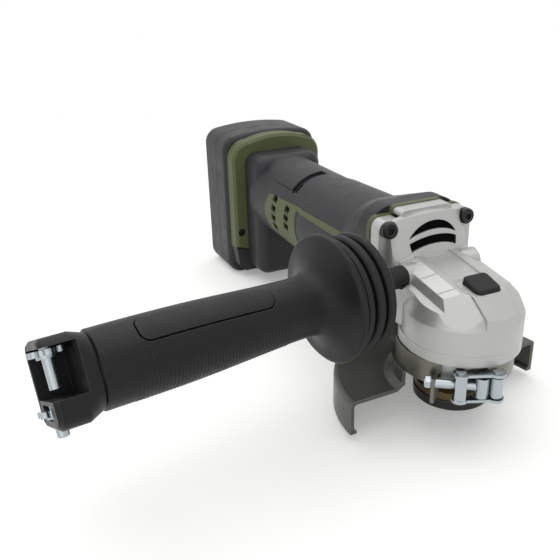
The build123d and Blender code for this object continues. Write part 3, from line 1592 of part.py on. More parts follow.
# Motor housing: collar, flared tube and bearing web
with BuildPart() as motor_housing:
    collar_width = 2 * (flange_half_width + collar_proud)
    collar_height = flange_height + 2 * collar_proud
    with BuildSketch(back_plane(baffle_back_y)):
        with Locations((0, flange_centre_z)):
            RectangleRounded(collar_width, collar_height, flange_corner + collar_proud)
    extrude(amount=collar_length)
    with BuildSketch(back_plane(baffle_back_y + collar_length)):
        with Locations((0, flange_centre_z)):
            RectangleRounded(collar_width, collar_height, flange_corner + collar_proud)
    with BuildSketch(back_plane(housing_taper_end_y)):
        with Locations((0, motor_axis_z)):
            RectangleRounded(2 * housing_front_radius, 2 * housing_front_radius, housing_front_radius - 0.1)
    loft()
    with BuildSketch(Plane.YZ):
        Polygon(
            (housing_taper_end_y, motor_axis_z),
            (housing_taper_end_y, motor_axis_z + housing_front_radius),
            (housing_step_y, motor_axis_z + housing_step_radius),
            (housing_step_y, motor_axis_z + housing_radius),
            (housing_end_y, motor_axis_z + housing_radius),
            (housing_end_y, motor_axis_z),
            align=None,
        )
    revolve(axis=motor_axis)
    # Bore for the fan and the motor, then the chamber behind the bearing web
    with BuildSketch(back_plane(baffle_back_y, motor_axis_z)):
        Circle(fan_radius + fan_room)
    extrude(amount=can_front_y - baffle_back_y, mode=Mode.SUBTRACT)
    with BuildSketch(back_plane(can_front_y, motor_axis_z)):
        Circle(can_radius + seat_gap)
    extrude(amount=bearing_web_front_y - can_front_y, mode=Mode.SUBTRACT)
    with BuildSketch(back_plane(rear_bearing_y + rear_bearing_width, motor_axis_z)):
        Circle(tube_inner_rear)
    extrude(amount=housing_end_y - rear_bearing_y - rear_bearing_width, mode=Mode.SUBTRACT)
    with BuildSketch(back_plane(rear_bearing_y, motor_axis_z)):
        Circle(rear_bearing_radius)
    extrude(amount=rear_bearing_width, mode=Mode.SUBTRACT)
    with BuildSketch(back_plane(bearing_web_front_y, motor_axis_z)):
        Circle(shaft_radius + 1)
        with PolarLocations(rear_bearing_radius + 7, 4, start_angle=45):
            Circle(4)
    extrude(amount=rear_bearing_y - bearing_web_front_y + rear_bearing_width, mode=Mode.SUBTRACT)
    with BuildSketch(back_plane(baffle_back_y)):
        with Locations(*flange_screw_spots):
            Circle(flange_screw_radius)
    extrude(amount=flange_screw_length - flange_thickness - baffle_thickness, mode=Mode.SUBTRACT)
    # Side panel pockets and vents
    for facing in (-1, 1):
        add(side_pockets[facing].part, mode=Mode.SUBTRACT)
    with BuildSketch(Plane.YZ):
        side_vents()
    extrude(amount=2 * housing_radius, both=True, mode=Mode.SUBTRACT)
    # Switch slot
    add(switch_slot.part, mode=Mode.SUBTRACT)
motor_housing.part.label = "motor_housing"
export_step(motor_housing.part, "parts/motor_housing.step")

# Switch leg and switch
with BuildPart() as switch_link:
    with BuildSketch(back_plane(switch_leg_front_y)):
        with Locations(Location((0, motor_axis_z, 0), (0, 0, 180 - switch_angle))):
            with Locations(((switch_leg_end + housing_radius - switch_plate) / 2, 0)):
                Rectangle(housing_radius - switch_plate - switch_leg_end, 2 * switch_leg_half_width)
        with Locations((0, motor_axis_z)):
            Circle(housing_radius - switch_plate, mode=Mode.INTERSECT)
    extrude(amount=switch_leg_back_y - switch_leg_front_y)
switch_link.part.label = "switch_link"
export_step(switch_link.part, "parts/switch_link.step")

with BuildPart() as switch_unit:
    with BuildSketch(back_plane(switch_unit_front_y)):
        with Locations(Location((0, motor_axis_z, 0), (0, 0, 180 - switch_angle))):
            with Locations(((switch_unit_low + switch_unit_high) / 2, 0)):
                Rectangle(switch_unit_high - switch_unit_low, 2 * switch_unit_half_width)
    extrude(amount=switch_unit_back_y - switch_unit_front_y)
    chamfer(switch_unit.edges().filter_by(Axis.Y), 0.8)
switch_unit.part.label = "switch_unit"
export_step(switch_unit.part, "parts/switch_unit.step")

# Motor: can, magnets, armature, commutator, brushes, fan and shaft
with BuildPart() as motor_can:
    with BuildSketch(back_plane(can_front_y, motor_axis_z)):
        ring(can_radius, can_radius - can_wall)
    extrude(amount=can_length)
motor_can.part.label = "motor_can"
export_step(motor_can.part, "parts/motor_can.step")

magnet_outer = can_radius - can_wall
with BuildPart() as magnets:
    with BuildSketch(back_plane(core_front_y - 3, motor_axis_z)):
        ring(magnet_outer, magnet_outer - magnet_thickness)
        Rectangle(2 * can_radius, magnet_outer, mode=Mode.SUBTRACT)
    extrude(amount=core_length + 6)
magnets.part.label = "magnets"
export_step(magnets.part, "parts/magnets.step")

core_radius = magnet_outer - magnet_thickness - air_gap
with BuildPart() as armature_core:
    with BuildSketch(back_plane(core_front_y, motor_axis_z)):
        ring(core_radius, shaft_radius)
        with PolarLocations(core_radius - core_slot_depth / 2, core_slots):
            Rectangle(core_slot_depth + 1, core_slot_width, mode=Mode.SUBTRACT)
    extrude(amount=core_length)
armature_core.part.label = "armature_core"
export_step(armature_core.part, "parts/armature_core.step")

with BuildPart() as windings:
    for winding_y in (core_front_y - winding_overhang, core_front_y + core_length):
        with BuildSketch(back_plane(winding_y, motor_axis_z)):
            ring(core_radius - 1, winding_inner_radius)
        extrude(amount=winding_overhang)
windings.part.label = "windings"
export_step(windings.part, "parts/windings.step")

with BuildPart() as commutator:
    with BuildSketch(back_plane(commutator_front_y, motor_axis_z)):
        ring(commutator_radius, shaft_radius)
    extrude(amount=commutator_length)
    with BuildSketch(back_plane(commutator_front_y, motor_axis_z)):
        with PolarLocations(commutator_radius, 2 * core_slots):
            Rectangle(1.6, 0.5)
    extrude(amount=commutator_length, mode=Mode.SUBTRACT)
commutator.part.label = "commutator"
export_step(commutator.part, "parts/commutator.step")

brush_start = commutator_radius + slide_gap
brush_middle_y = commutator_front_y + commutator_length / 2
holder_half = brush_width / 2 + seat_gap + brush_wall
with BuildPart() as brush_holders:
    for facing in (-1, 1):
        with BuildSketch(Plane.YZ.offset(facing * (brush_start + 2))):
            with Locations((brush_middle_y, motor_axis_z)):
                Rectangle(2 * holder_half, 2 * holder_half)
                Rectangle(brush_width + 2 * seat_gap, brush_width + 2 * seat_gap, mode=Mode.SUBTRACT)
        extrude(amount=facing * (can_radius - brush_start - 2.5))
brush_holders.part.label = "brush_holders"
export_step(brush_holders.part, "parts/brush_holders.step")

with BuildPart() as brushes:
    for facing in (-1, 1):
        with BuildSketch(Plane.YZ.offset(facing * brush_start)):
            with Locations((brush_middle_y, motor_axis_z)):
                Rectangle(brush_width, brush_width)
        extrude(amount=facing * brush_length)
brushes.part.label = "brushes"
export_step(brushes.part, "parts/brushes.step")

with BuildPart() as fan:
    with BuildSketch(back_plane(fan_y, motor_axis_z)):
        ring(shaft_radius + 5, shaft_radius)
    extrude(amount=fan_depth)
    with BuildSketch(back_plane(fan_y + fan_depth - 2, motor_axis_z)):
        ring(fan_radius, shaft_radius)
    extrude(amount=2)
    with BuildSketch(back_plane(fan_y + 1, motor_axis_z)):
        with PolarLocations((fan_radius + shaft_radius + 8) / 2, fan_blades):
            Rectangle(fan_radius - shaft_radius - 9, 1.6, rotation=25)
    extrude(amount=fan_depth - 2)
    with BuildSketch(back_plane(fan_y, motor_axis_z)):
        Circle(fan_radius)
    extrude(amount=fan_depth, mode=Mode.INTERSECT)
fan.part.label = "fan"
export_step(fan.part, "parts/fan.step")

with BuildPart() as motor_shaft:
    with BuildSketch(back_plane(pinion_root_inner[1], motor_axis_z)):
        Circle(pinion_shaft_radius)
    extrude(amount=pinion_end_y - pinion_root_inner[1])
    with BuildSketch(back_plane(pinion_end_y, motor_axis_z)):
        Circle(shaft_radius)
    extrude(amount=rear_bearing_y + rear_bearing_width - pinion_end_y)
motor_shaft.part.label = "motor_shaft"
export_step(motor_shaft.part, "parts/motor_shaft.step")

# Battery dock: shoulder behind the motor tube
with BuildPart() as dock_shoulder:
    with BuildSketch(back_plane(housing_end_y)):
        with Locations((0, (shoulder_top_z + shoulder_bottom_z) / 2)):
            RectangleRounded(
                2 * shoulder_half_width_x, shoulder_top_z - shoulder_bottom_z, shoulder_corner
            )
    extrude(amount=shoulder_depth)
    fillet(dock_shoulder.faces().sort_by(Axis.Y)[0].edges(), shoulder_round)
    with BuildSketch(back_plane(housing_end_y, motor_axis_z)):
        Circle(housing_radius)
    extrude(amount=shoulder_collar)
    with BuildSketch(back_plane(housing_end_y + shoulder_wall)):
        with Locations((0, (shoulder_top_z + shoulder_bottom_z) / 2)):
            RectangleRounded(
                2 * (shoulder_half_width_x - shoulder_round),
                shoulder_top_z - shoulder_bottom_z - 2 * shoulder_round,
                shoulder_corner - shoulder_wall,
            )
    extrude(amount=shoulder_depth - shoulder_wall, mode=Mode.SUBTRACT)
    with BuildSketch(back_plane(housing_end_y, motor_axis_z)):
        Circle(wire_hole_radius)
    extrude(amount=shoulder_wall, mode=Mode.SUBTRACT)
dock_shoulder.part.label = "dock_shoulder"
export_step(dock_shoulder.part, "parts/dock_shoulder.step")


def rail_slot():
    """T-slot for the battery tongue, from the frame's back face, open at the bottom."""
    slot_height = rail_top_z - foot_bottom_z + cut_room
    with BuildPart() as slot:
        with BuildSketch(back_plane(frame_back_y - rail_lip_depth - rail_head_depth)):
            with Locations((0, rail_top_z - slot_height / 2)):
                Rectangle(2 * rail_half_width, slot_height)
        extrude(amount=rail_head_depth)
        with BuildSketch(back_plane(frame_back_y - rail_lip_depth)):
            with Locations((0, rail_top_z - slot_height / 2)):
                Rectangle(2 * (rail_half_width - rail_lip), slot_height)
        extrude(amount=rail_lip_depth + cut_room)
    return slot.part


# Dock frame and foot with the battery rails
battery_rail_slot = rail_slot()

with BuildPart() as dock_frame:
    with BuildSketch(back_plane(shoulder_back_y)):
        with BuildLine():
            Polyline(
                (-frame_half_width, frame_top_z - frame_corner),
                (-frame_half_width, frame_leg_z),
                (-foot_half_width + frame_corner, frame_leg_z - frame_leg_slant),
                (foot_half_width - frame_corner, frame_leg_z - frame_leg_slant),
                (frame_half_width, frame_leg_z),
                (frame_half_width, frame_top_z - frame_corner),
            )
            ThreePointArc(
                (frame_half_width, frame_top_z - frame_corner),
                (frame_half_width - frame_corner * 0.3, frame_top_z - frame_corner * 0.3),
                (frame_half_width - frame_corner, frame_top_z),
            )
            ThreePointArc(
                (frame_half_width - frame_corner, frame_top_z),
                (0, frame_top_z + frame_crown),
                (-frame_half_width + frame_corner, frame_top_z),
            )
            ThreePointArc(
                (-frame_half_width + frame_corner, frame_top_z),
                (-frame_half_width + frame_corner * 0.3, frame_top_z - frame_corner * 0.3),
                (-frame_half_width, frame_top_z - frame_corner),
            )
        make_face()
    extrude(amount=frame_depth)
    chamfer(dock_frame.faces().sort_by(Axis.Y)[0].edges(), frame_chamfer)
    add(battery_rail_slot, mode=Mode.SUBTRACT)
    with BuildSketch(back_plane(frame_back_y - rail_lip_depth - rail_head_depth)):
        with Locations((0, rail_top_z + terminal_height / 2)):
            Rectangle(terminal_half_width * 2, terminal_height)
    extrude(amount=rail_head_depth, mode=Mode.SUBTRACT)
    with BuildSketch(back_plane(shoulder_back_y)):
        with Locations(*dock_screw_spots):
            Circle(dock_screw_head_radius)
    extrude(amount=dock_screw_head_radius, mode=Mode.SUBTRACT)
    with BuildSketch(back_plane(shoulder_back_y)):
        with Locations(*dock_screw_spots):
            Circle(dock_screw_radius)
    extrude(amount=dock_screw_length, mode=Mode.SUBTRACT)
    with BuildSketch(back_plane(shoulder_back_y)):
        with Locations((0, rail_top_z + terminal_height / 2)):
            Circle(wire_hole_radius / 3)
    extrude(amount=frame_depth - rail_lip_depth - rail_head_depth, mode=Mode.SUBTRACT)
dock_frame.part.label = "dock_frame"
export_step(dock_frame.part, "parts/dock_frame.step")

with BuildPart() as dock_foot:
    with BuildSketch(back_plane(shoulder_back_y)):
        Polygon(
            (-frame_half_width, frame_leg_z),
            (-foot_half_width + frame_corner, frame_leg_z - frame_leg_slant),
            (foot_half_width - frame_corner, frame_leg_z - frame_leg_slant),
            (frame_half_width, frame_leg_z),
            (foot_half_width, foot_bottom_z + frame_leg_slant),
            (foot_half_width - frame_leg_slant, foot_bottom_z),
            (-foot_half_width + frame_leg_slant, foot_bottom_z),
            (-foot_half_width, foot_bottom_z + frame_leg_slant),
            align=None,
        )
    extrude(amount=frame_depth)
    add(battery_rail_slot, mode=Mode.SUBTRACT)
dock_foot.part.label = "dock_foot"
export_step(dock_foot.part, "parts/dock_foot.step")

with BuildPart() as dock_screws:
    with BuildSketch(back_plane(shoulder_back_y + dock_screw_head_radius)):
        with Locations(*dock_screw_spots):
            Circle(dock_screw_head_radius - seat_gap)
    extrude(amount=-dock_screw_radius)
    with BuildSketch(back_plane(shoulder_back_y + dock_screw_head_radius)):
        with Locations(*dock_screw_spots):
            Circle(dock_screw_radius)
    extrude(amount=dock_screw_length - dock_screw_head_radius)
dock_screws.part.label = "dock_screws"
export_step(dock_screws.part, "parts/dock_screws.step")

# Terminal block with four blades that point down into the battery tongue
blade_y = frame_back_y - rail_lip_depth - rail_head_depth / 2
blade_spots = [(blade_pitch * (index - (blade_count - 1) / 2), blade_y) for index in range(blade_count)]
with BuildPart() as terminal_block:
    with BuildSketch(Plane.XY.offset(rail_top_z)):
        with Locations((0, blade_y)):
            Rectangle(2 * (terminal_half_width - seat_gap), rail_head_depth - 2 * seat_gap)
    extrude(amount=terminal_height - seat_gap)
    with BuildSketch(Plane.XY.offset(rail_top_z)):
        with Locations(*blade_spots):
            Rectangle(blade_thickness, blade_depth - 2)
    extrude(amount=-blade_length)
terminal_block.part.label = "terminal_block"
export_step(terminal_block.part, "parts/terminal_block.step")

with BuildPart() as control_board:
    with BuildSketch(back_plane(board_y)):
        with Locations((0, (board_top_z + board_bottom_z) / 2)):
            Rectangle(2 * board_half_width, board_top_z - board_bottom_z)
    extrude(amount=board_thickness)
    with BuildSketch(back_plane(board_y)):
        with GridLocations(board_half_width, board_half_width, 2, 2):
            with Locations((0, (board_top_z + board_bottom_z) / 2)):
                Rectangle(board_half_width / 2, board_half_width / 2)
    extrude(amount=-2 * board_thickness)
control_board.part.label = "control_board"
export_step(control_board.part, "parts/control_board.step")

# Battery pack: two case halves, cells, contacts, screws and release button
battery_side_top_z = battery_top_z - battery_crown
with BuildSketch() as battery_outline:
    with BuildLine():
        Polyline(
            (battery_half_width, battery_side_top_z),
            (battery_half_width, battery_bottom_z),
            (-battery_half_width, battery_bottom_z),
            (-battery_half_width, battery_side_top_z),
        )
        ThreePointArc(
            (-battery_half_width, battery_side_top_z),
            (0, battery_top_z),
            (battery_half_width, battery_side_top_z),
        )
    make_face()
    fillet(battery_outline.vertices(), battery_corner)

battery_screw_spots = [
    (side * battery_screw_x, height)
    for side in (-1, 1)
    for height in (battery_screw_high_z, battery_screw_low_z)
]
battery_split_y = battery_front_y + battery_split
tongue_top_z = rail_top_z - slide_gap
tongue_height = tongue_top_z - tongue_bottom_z
tongue_head_y = frame_back_y - rail_lip_depth - rail_head_depth + slide_gap
tongue_neck_y = frame_back_y - rail_lip_depth - slide_gap
contact_slot_half = blade_thickness / 2 + slide_gap + contact_sheet
contact_depth = blade_depth - 2

with BuildPart() as battery_case_front:
    with BuildSketch(back_plane(battery_front_y)):
        add(battery_outline.sketch)
    extrude(amount=battery_split)
    fillet(battery_case_front.faces().sort_by(Axis.Y)[0].edges(), battery_edge)
    chamfer(battery_case_front.faces().sort_by(Axis.Y)[-1].edges(), battery_seam)
    with BuildSketch(back_plane(battery_front_y + battery_wall)):
        add(battery_outline.sketch)
        offset(amount=-battery_wall)
    extrude(amount=battery_split - battery_wall, mode=Mode.SUBTRACT)
    with BuildSketch(back_plane(battery_front_y + battery_wall)):
        with Locations(*battery_screw_spots):
            Circle(battery_boss_radius)
    extrude(amount=battery_split - battery_wall)
    with BuildSketch(back_plane(battery_front_y + battery_wall)):
        with Locations(*battery_screw_spots):
            Circle(battery_screw_radius)
    extrude(amount=battery_split - battery_wall, mode=Mode.SUBTRACT)
    with BuildSketch(back_plane(tongue_head_y)):
        with Locations((0, tongue_top_z - tongue_height / 2)):
            Rectangle(2 * (rail_half_width - slide_gap), tongue_height)
    extrude(amount=tongue_neck_y - tongue_head_y)
    with BuildSketch(back_plane(tongue_neck_y)):
        with Locations((0, tongue_top_z - tongue_height / 2)):
            Rectangle(2 * (rail_half_width - rail_lip - slide_gap), tongue_height)
    extrude(amount=battery_front_y + battery_wall - tongue_neck_y)
    with BuildSketch(Plane.XY.offset(tongue_top_z)):
        with Locations(*blade_spots):
            Rectangle(2 * contact_slot_half, contact_depth + 2 * slide_gap)
    extrude(amount=-blade_length - 1, mode=Mode.SUBTRACT)
battery_case_front.part.label = "battery_case_front"
export_step(battery_case_front.part, "parts/battery_case_front.step")

with BuildPart() as battery_case_rear:
    with BuildSketch(back_plane(battery_split_y)):
        add(battery_outline.sketch)
    extrude(amount=battery_depth - battery_split)
    fillet(battery_case_rear.faces().sort_by(Axis.Y)[-1].edges(), battery_edge)
    chamfer(battery_case_rear.faces().sort_by(Axis.Y)[0].edges(), battery_seam)
    with BuildSketch(back_plane(battery_split_y)):
        add(battery_outline.sketch)
        offset(amount=-battery_wall)
    extrude(amount=battery_depth - battery_split - battery_wall, mode=Mode.SUBTRACT)
    with BuildSketch(back_plane(battery_split_y)):
        with Locations(*battery_screw_spots):
            Circle(battery_boss_radius)
    extrude(amount=battery_depth - battery_split - battery_wall)
    with BuildSketch(back_plane(battery_split_y)):
        with Locations(*battery_screw_spots):
            Circle(battery_screw_radius + seat_gap)
    extrude(amount=battery_depth - battery_split, mode=Mode.SUBTRACT)
    with BuildSketch(back_plane(battery_back_y)):
        with Locations(*battery_screw_spots):
            Circle(battery_boss_radius - 0.4)
    extrude(amount=-2 * battery_screw_radius, mode=Mode.SUBTRACT)
    with BuildSketch(Plane.YZ.offset(battery_half_width - 2 * battery_wall)):
        with Locations((release_y, release_z)):
            RectangleRounded(release_depth + 2 * slide_gap, release_height + 2 * slide_gap, release_corner)
    extrude(amount=4 * battery_wall, mode=Mode.SUBTRACT)
battery_case_rear.part.label = "battery_case_rear"
export_step(battery_case_rear.part, "parts/battery_case_rear.step")

with BuildPart() as battery_release:
    with BuildSketch(Plane.YZ.offset(battery_half_width + release_proud)):
        with Locations((release_y, release_z)):
            RectangleRounded(release_depth, release_height, release_corner)
    extrude(amount=-release_thickness)
    fillet(battery_release.faces().sort_by(Axis.X)[-1].edges(), release_proud * 0.6)
battery_release.part.label = "battery_release"
export_step(battery_release.part, "parts/battery_release.step")

cell_start_y = battery_front_y + battery_depth / 2 - cell_pitch / 2
with BuildPart() as battery_cells:
    with BuildSketch(Plane.YZ.offset(-cell_length / 2)):
        for cell_y in (cell_start_y, cell_start_y + cell_pitch):
            for row in range(cells_high):
                with Locations((cell_y, cell_middle_z + (row - (cells_high - 1) / 2) * cell_pitch)):
                    Circle(cell_radius)
    extrude(amount=cell_length)
battery_cells.part.label = "battery_cells"
export_step(battery_cells.part, "parts/battery_cells.step")

with BuildPart() as battery_contacts:
    for facing in (-1, 1):
        spread = facing * (contact_slot_half - contact_sheet / 2)
        with BuildSketch(Plane.XY.offset(tongue_top_z - 1)):
            with Locations(*[(x + spread, y) for x, y in blade_spots]):
                Rectangle(contact_sheet, contact_depth)
        extrude(amount=-blade_length)
battery_contacts.part.label = "battery_contacts"
export_step(battery_contacts.part, "parts/battery_contacts.step")

battery_screw_end_y = battery_front_y + battery_wall + 2
with BuildPart() as battery_screws:
    with BuildSketch(back_plane(battery_screw_end_y)):
        with Locations(*battery_screw_spots):
            Circle(battery_screw_radius)
    extrude(amount=battery_back_y - 2 * battery_screw_radius - battery_screw_end_y)
    with BuildSketch(back_plane(battery_back_y - 2 * battery_screw_radius)):
        with Locations(*battery_screw_spots):
            Circle(battery_boss_radius - 0.5)
    extrude(amount=battery_screw_radius)
battery_screws.part.label = "battery_screws"
export_step(battery_screws.part, "parts/battery_screws.step")
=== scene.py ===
import json
from math import cos, radians, sin, sqrt, tan

import bmesh
import bpy
from bpy.props import FloatProperty, FloatVectorProperty, IntProperty, PointerProperty
from mathutils import Matrix, Vector


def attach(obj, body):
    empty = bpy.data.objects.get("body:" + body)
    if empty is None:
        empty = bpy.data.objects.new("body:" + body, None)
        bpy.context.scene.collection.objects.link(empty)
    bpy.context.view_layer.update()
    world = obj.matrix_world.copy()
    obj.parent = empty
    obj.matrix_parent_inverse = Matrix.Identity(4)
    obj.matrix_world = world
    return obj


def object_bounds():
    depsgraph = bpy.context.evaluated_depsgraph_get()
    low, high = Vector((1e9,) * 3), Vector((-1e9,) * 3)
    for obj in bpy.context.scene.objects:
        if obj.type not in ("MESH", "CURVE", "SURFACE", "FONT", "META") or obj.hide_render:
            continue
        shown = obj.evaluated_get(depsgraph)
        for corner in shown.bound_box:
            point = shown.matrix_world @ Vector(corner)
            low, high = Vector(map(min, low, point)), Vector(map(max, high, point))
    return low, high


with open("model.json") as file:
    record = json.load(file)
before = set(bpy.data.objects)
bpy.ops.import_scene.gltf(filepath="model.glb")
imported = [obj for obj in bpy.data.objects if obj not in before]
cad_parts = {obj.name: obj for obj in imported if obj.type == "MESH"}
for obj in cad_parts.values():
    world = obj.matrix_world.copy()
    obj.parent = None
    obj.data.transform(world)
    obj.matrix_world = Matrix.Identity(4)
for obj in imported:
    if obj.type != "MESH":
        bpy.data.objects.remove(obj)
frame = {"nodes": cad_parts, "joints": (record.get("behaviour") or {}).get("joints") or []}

bl_info = {
    "name": "Cordless grinder dressing",
    "version": (1, 0, 0),
    "blender": (4, 5, 0),
    "location": "View3D > Sidebar > Grinder",
    "description": "Finishes, trim and stage for a cordless angle grinder",
    "category": "Object",
}

CAD_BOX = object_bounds()
NODES = frame["nodes"]
JOINTS = {joint["name"]: joint for joint in frame["joints"]}
MILLIMETRE = 0.001
HANDLE_POINT = Vector(JOINTS["handle_turn"]["pos_m"])
HANDLE_AXIS = Vector(JOINTS["handle_turn"]["axis"])
FLOOR_LEVEL = CAD_BOX[0][2]
FILM_WIDTH = 36
# Rounded normal against the face's own: where an edge starts to look rubbed and where it is fully so
FLAT_FACE = 0.98
SHARP_EDGE = 0.7
WORN_LIFT = 0.5
GLOSS_SPREAD = 0.06
# Facets of one grip rib, along it and round it
RIB_STEPS = 28
RIB_SIDES = 6
# Heights of a gear case vent's lower and upper arch, each at its ends and its middle, for the near-black
# sheet of painted shade behind it
VENT_ARCHES = {
    "dust_screen_upper": ((0.0738, 0.0778), (0.07385, 0.0822)),
    "dust_screen_lower": ((0.0674, 0.0708), (0.0718, 0.0751)),
}


def linear(hex_colour):
    """Linear colour of an sRGB hex value."""
    channels = [int(hex_colour[i:i + 2], 16) / 255 for i in (1, 3, 5)]
    return [c / 12.92 if c <= 0.04045 else ((c + 0.055) / 1.055) ** 2.4 for c in channels]


def colour(label, purpose, hex_colour):
    """Colour property with its default written as sRGB hex."""
    return FloatVectorProperty(
        name=label, description=purpose, subtype="COLOR", size=3, min=0, max=1, default=linear(hex_colour)
    )


def length(label, purpose, metres):
    """Length property in metres."""
    return FloatProperty(name=label, description=purpose, unit="LENGTH", default=metres)


def angle(label, purpose, degrees):
    """Angle property with its default written in degrees."""
    return FloatProperty(name=label, description=purpose, unit="ROTATION", default=radians(degrees))


def power(label, purpose, watts):
    """Lamp power property in watts."""
    return FloatProperty(name=label, description=purpose, unit="POWER", default=watts)


def position(label, purpose, point):
    """Point property in metres."""
    return FloatVectorProperty(name=label, description=purpose, unit="LENGTH", default=point)


class GrinderColours(bpy.types.PropertyGroup):
    """Colours of the grinder's finishes."""
    body: colour("Body", "Moulded housing, dock and battery", "#2d2c2f")
    grip: colour("Grip", "Side handle and its end block", "#151516")
    olive: colour("Olive", "Dock frame, side panels and baffle", "#575e3d")
    rubber: colour("Rubber", "Damper and lock button", "#202022")
    casting: colour("Casting", "Gear case and bearing cover", "#b9b9b7")
    guard: colour("Guard", "Guard shell", "#55554f")
    # Band: lighter copy of the guard's colour, painted light on the band
    band: colour("Band", "Guard band round the neck", "#77766d")
    zinc: colour("Zinc", "Clamp, studs and thumb nuts", "#a9b0b4")
    black_oxide: colour("Black oxide", "Screws and lock nut", "#262524")
    chromate: colour("Chromate", "Inner flange", "#574c33")
    steel: colour("Steel", "Spindle, gears, shafts and bearings", "#b9b9ba")
    bronze: colour("Bronze", "Bush, commutator and contacts", "#b48d50")
    copper: colour("Copper", "Windings", "#b06a40")
    ferrite: colour("Ferrite", "Magnets", "#303032")
    carbon: colour("Carbon", "Brushes", "#1d1d1e")
    # Near-black colour of the sheets behind the vents: painted shade
    vent_shade: colour("Painted vent shade", "Dust screens behind the vents", "#090909")
    sleeve: colour("Sleeve", "Shrink sleeve of the cells", "#2f5a70")
    board: colour("Board", "Control board", "#1a4d2e")


class GrinderSizes(bpy.types.PropertyGroup):
    """Sizes of the trim that is added to the solids."""
    rib_count: IntProperty(name="Rib count", description="Ribs along one side of the grip", default=46, min=2)
    rib_first: length("First rib", "Distance of the first rib from the spindle", 0.098)
    rib_last: length("Last rib", "Distance of the last rib from the spindle", 0.172)
    rib_radius: length("Rib radius", "Radius of one rib's round section", 0.00035)
    rib_sweep: angle("Rib sweep", "Angle round the grip that a rib covers", 95)
    rib_middle: angle("Rib middle", "Angle of a rib's middle from the top", 108)
    rib_reach: length("Rib reach", "How far from its axis the grip's skin is looked for", 0.025)


class GrinderVents(bpy.types.PropertyGroup):
    """Places of the near-black sheets behind the vents of the gear case and the motor housing, which paint
    the shade inside them.
    """
    face_radius: length("Face radius", "Radius of the hollow vent face", 0.045)
    face_front: length("Face front", "Y of the vent face's middle at its foot", 0.01611)
    face_foot: length("Face foot", "Z of the vent face's foot", 0.0552)
    face_lean: angle("Face lean", "Backward lean of the vent face", 15.5)
    half_width: length("Half width", "Half the width of a vent", 0.0144)
    # The screens named below are near-black sheets of painted shade behind the vents
    depth: length("Depth", "From the vent face to a screen", 0.0011)
    thickness: length("Thickness", "Thickness of a screen", 0.0005)
    tube_radius: length("Tube radius", "Radius of the side screens round the motor", 0.0251)
    tube_height: length("Tube height", "Z of the motor's axis", 0.0505)
    tube_front: length("Tube front", "Front Y of the side screens", 0.134)
    tube_back: length("Tube back", "Back Y of the side screens", 0.166)
    tube_half_angle: angle("Tube half angle", "Half the sweep of a side screen", 32)
    tube_thickness: length("Tube thickness", "Thickness of a side screen", 0.0002)


class GrinderStage(bpy.types.PropertyGroup):
    """Camera, floor and lamps."""
    azimuth: angle("Azimuth", "Camera's turn about Z", -24.5)
    elevation: angle("Elevation", "Camera's height angle", 23.91)
    roll: angle("Roll", "Camera's roll", -1.53)
    distance: length("Distance", "From the camera to its target", 0.42229)
    target: position("Target", "Point at the middle of the picture", (-0.05242, 0.0983, 0.03084))
    lens: FloatProperty(
        name="Lens", description="Focal length on a 36 mm frame", unit="CAMERA", default=45.65
    )
    floor_colour: colour("Floor", "Pale floor and backdrop", "#fbfbfa")
    floor_glow: FloatProperty(
        name="Floor glow", description="What lifts the seen floor to white", default=0.26
    )
    floor_near: length("Floor near", "Distance at which the floor starts to fade", 0.2)
    floor_far: length("Floor far", "Distance at which the floor has faded out", 0.42)
    sky_strength: FloatProperty(name="Sky", description="Strength of the even light all round", default=0.55)
    key_power: power("Key lamp", "Power of the large lamp overhead", 7.5)
    fill_power: power("Fill lamp", "Power of the lamp by the camera", 1.8)
    key_size: length("Key size", "Width of the key lamp", 1.5)
    fill_size: length("Fill size", "Width of the fill lamp", 1.1)
    key_place: position("Key place", "Middle of the key lamp", (-0.1, 0.25, 1.1))
    fill_place: position("Fill place", "Middle of the fill lamp", (-0.75, -0.75, 0.45))


def add_node(tree, kind, inputs=None, **settings):
    """Adds one node, sets it up and links or sets its inputs."""
    node = tree.nodes.new(kind)
    for name, value in settings.items():
        setattr(node, name, value)
    for socket, value in (inputs or {}).items():
        if isinstance(value, bpy.types.NodeSocket):
            tree.links.new(value, node.inputs[socket])
        else:
            node.inputs[socket].default_value = value
    return node


def per_metre(size_mm):
    """Noise scale whose features are about this many millimetres across."""
    return 1.0 / (size_mm * MILLIMETRE)


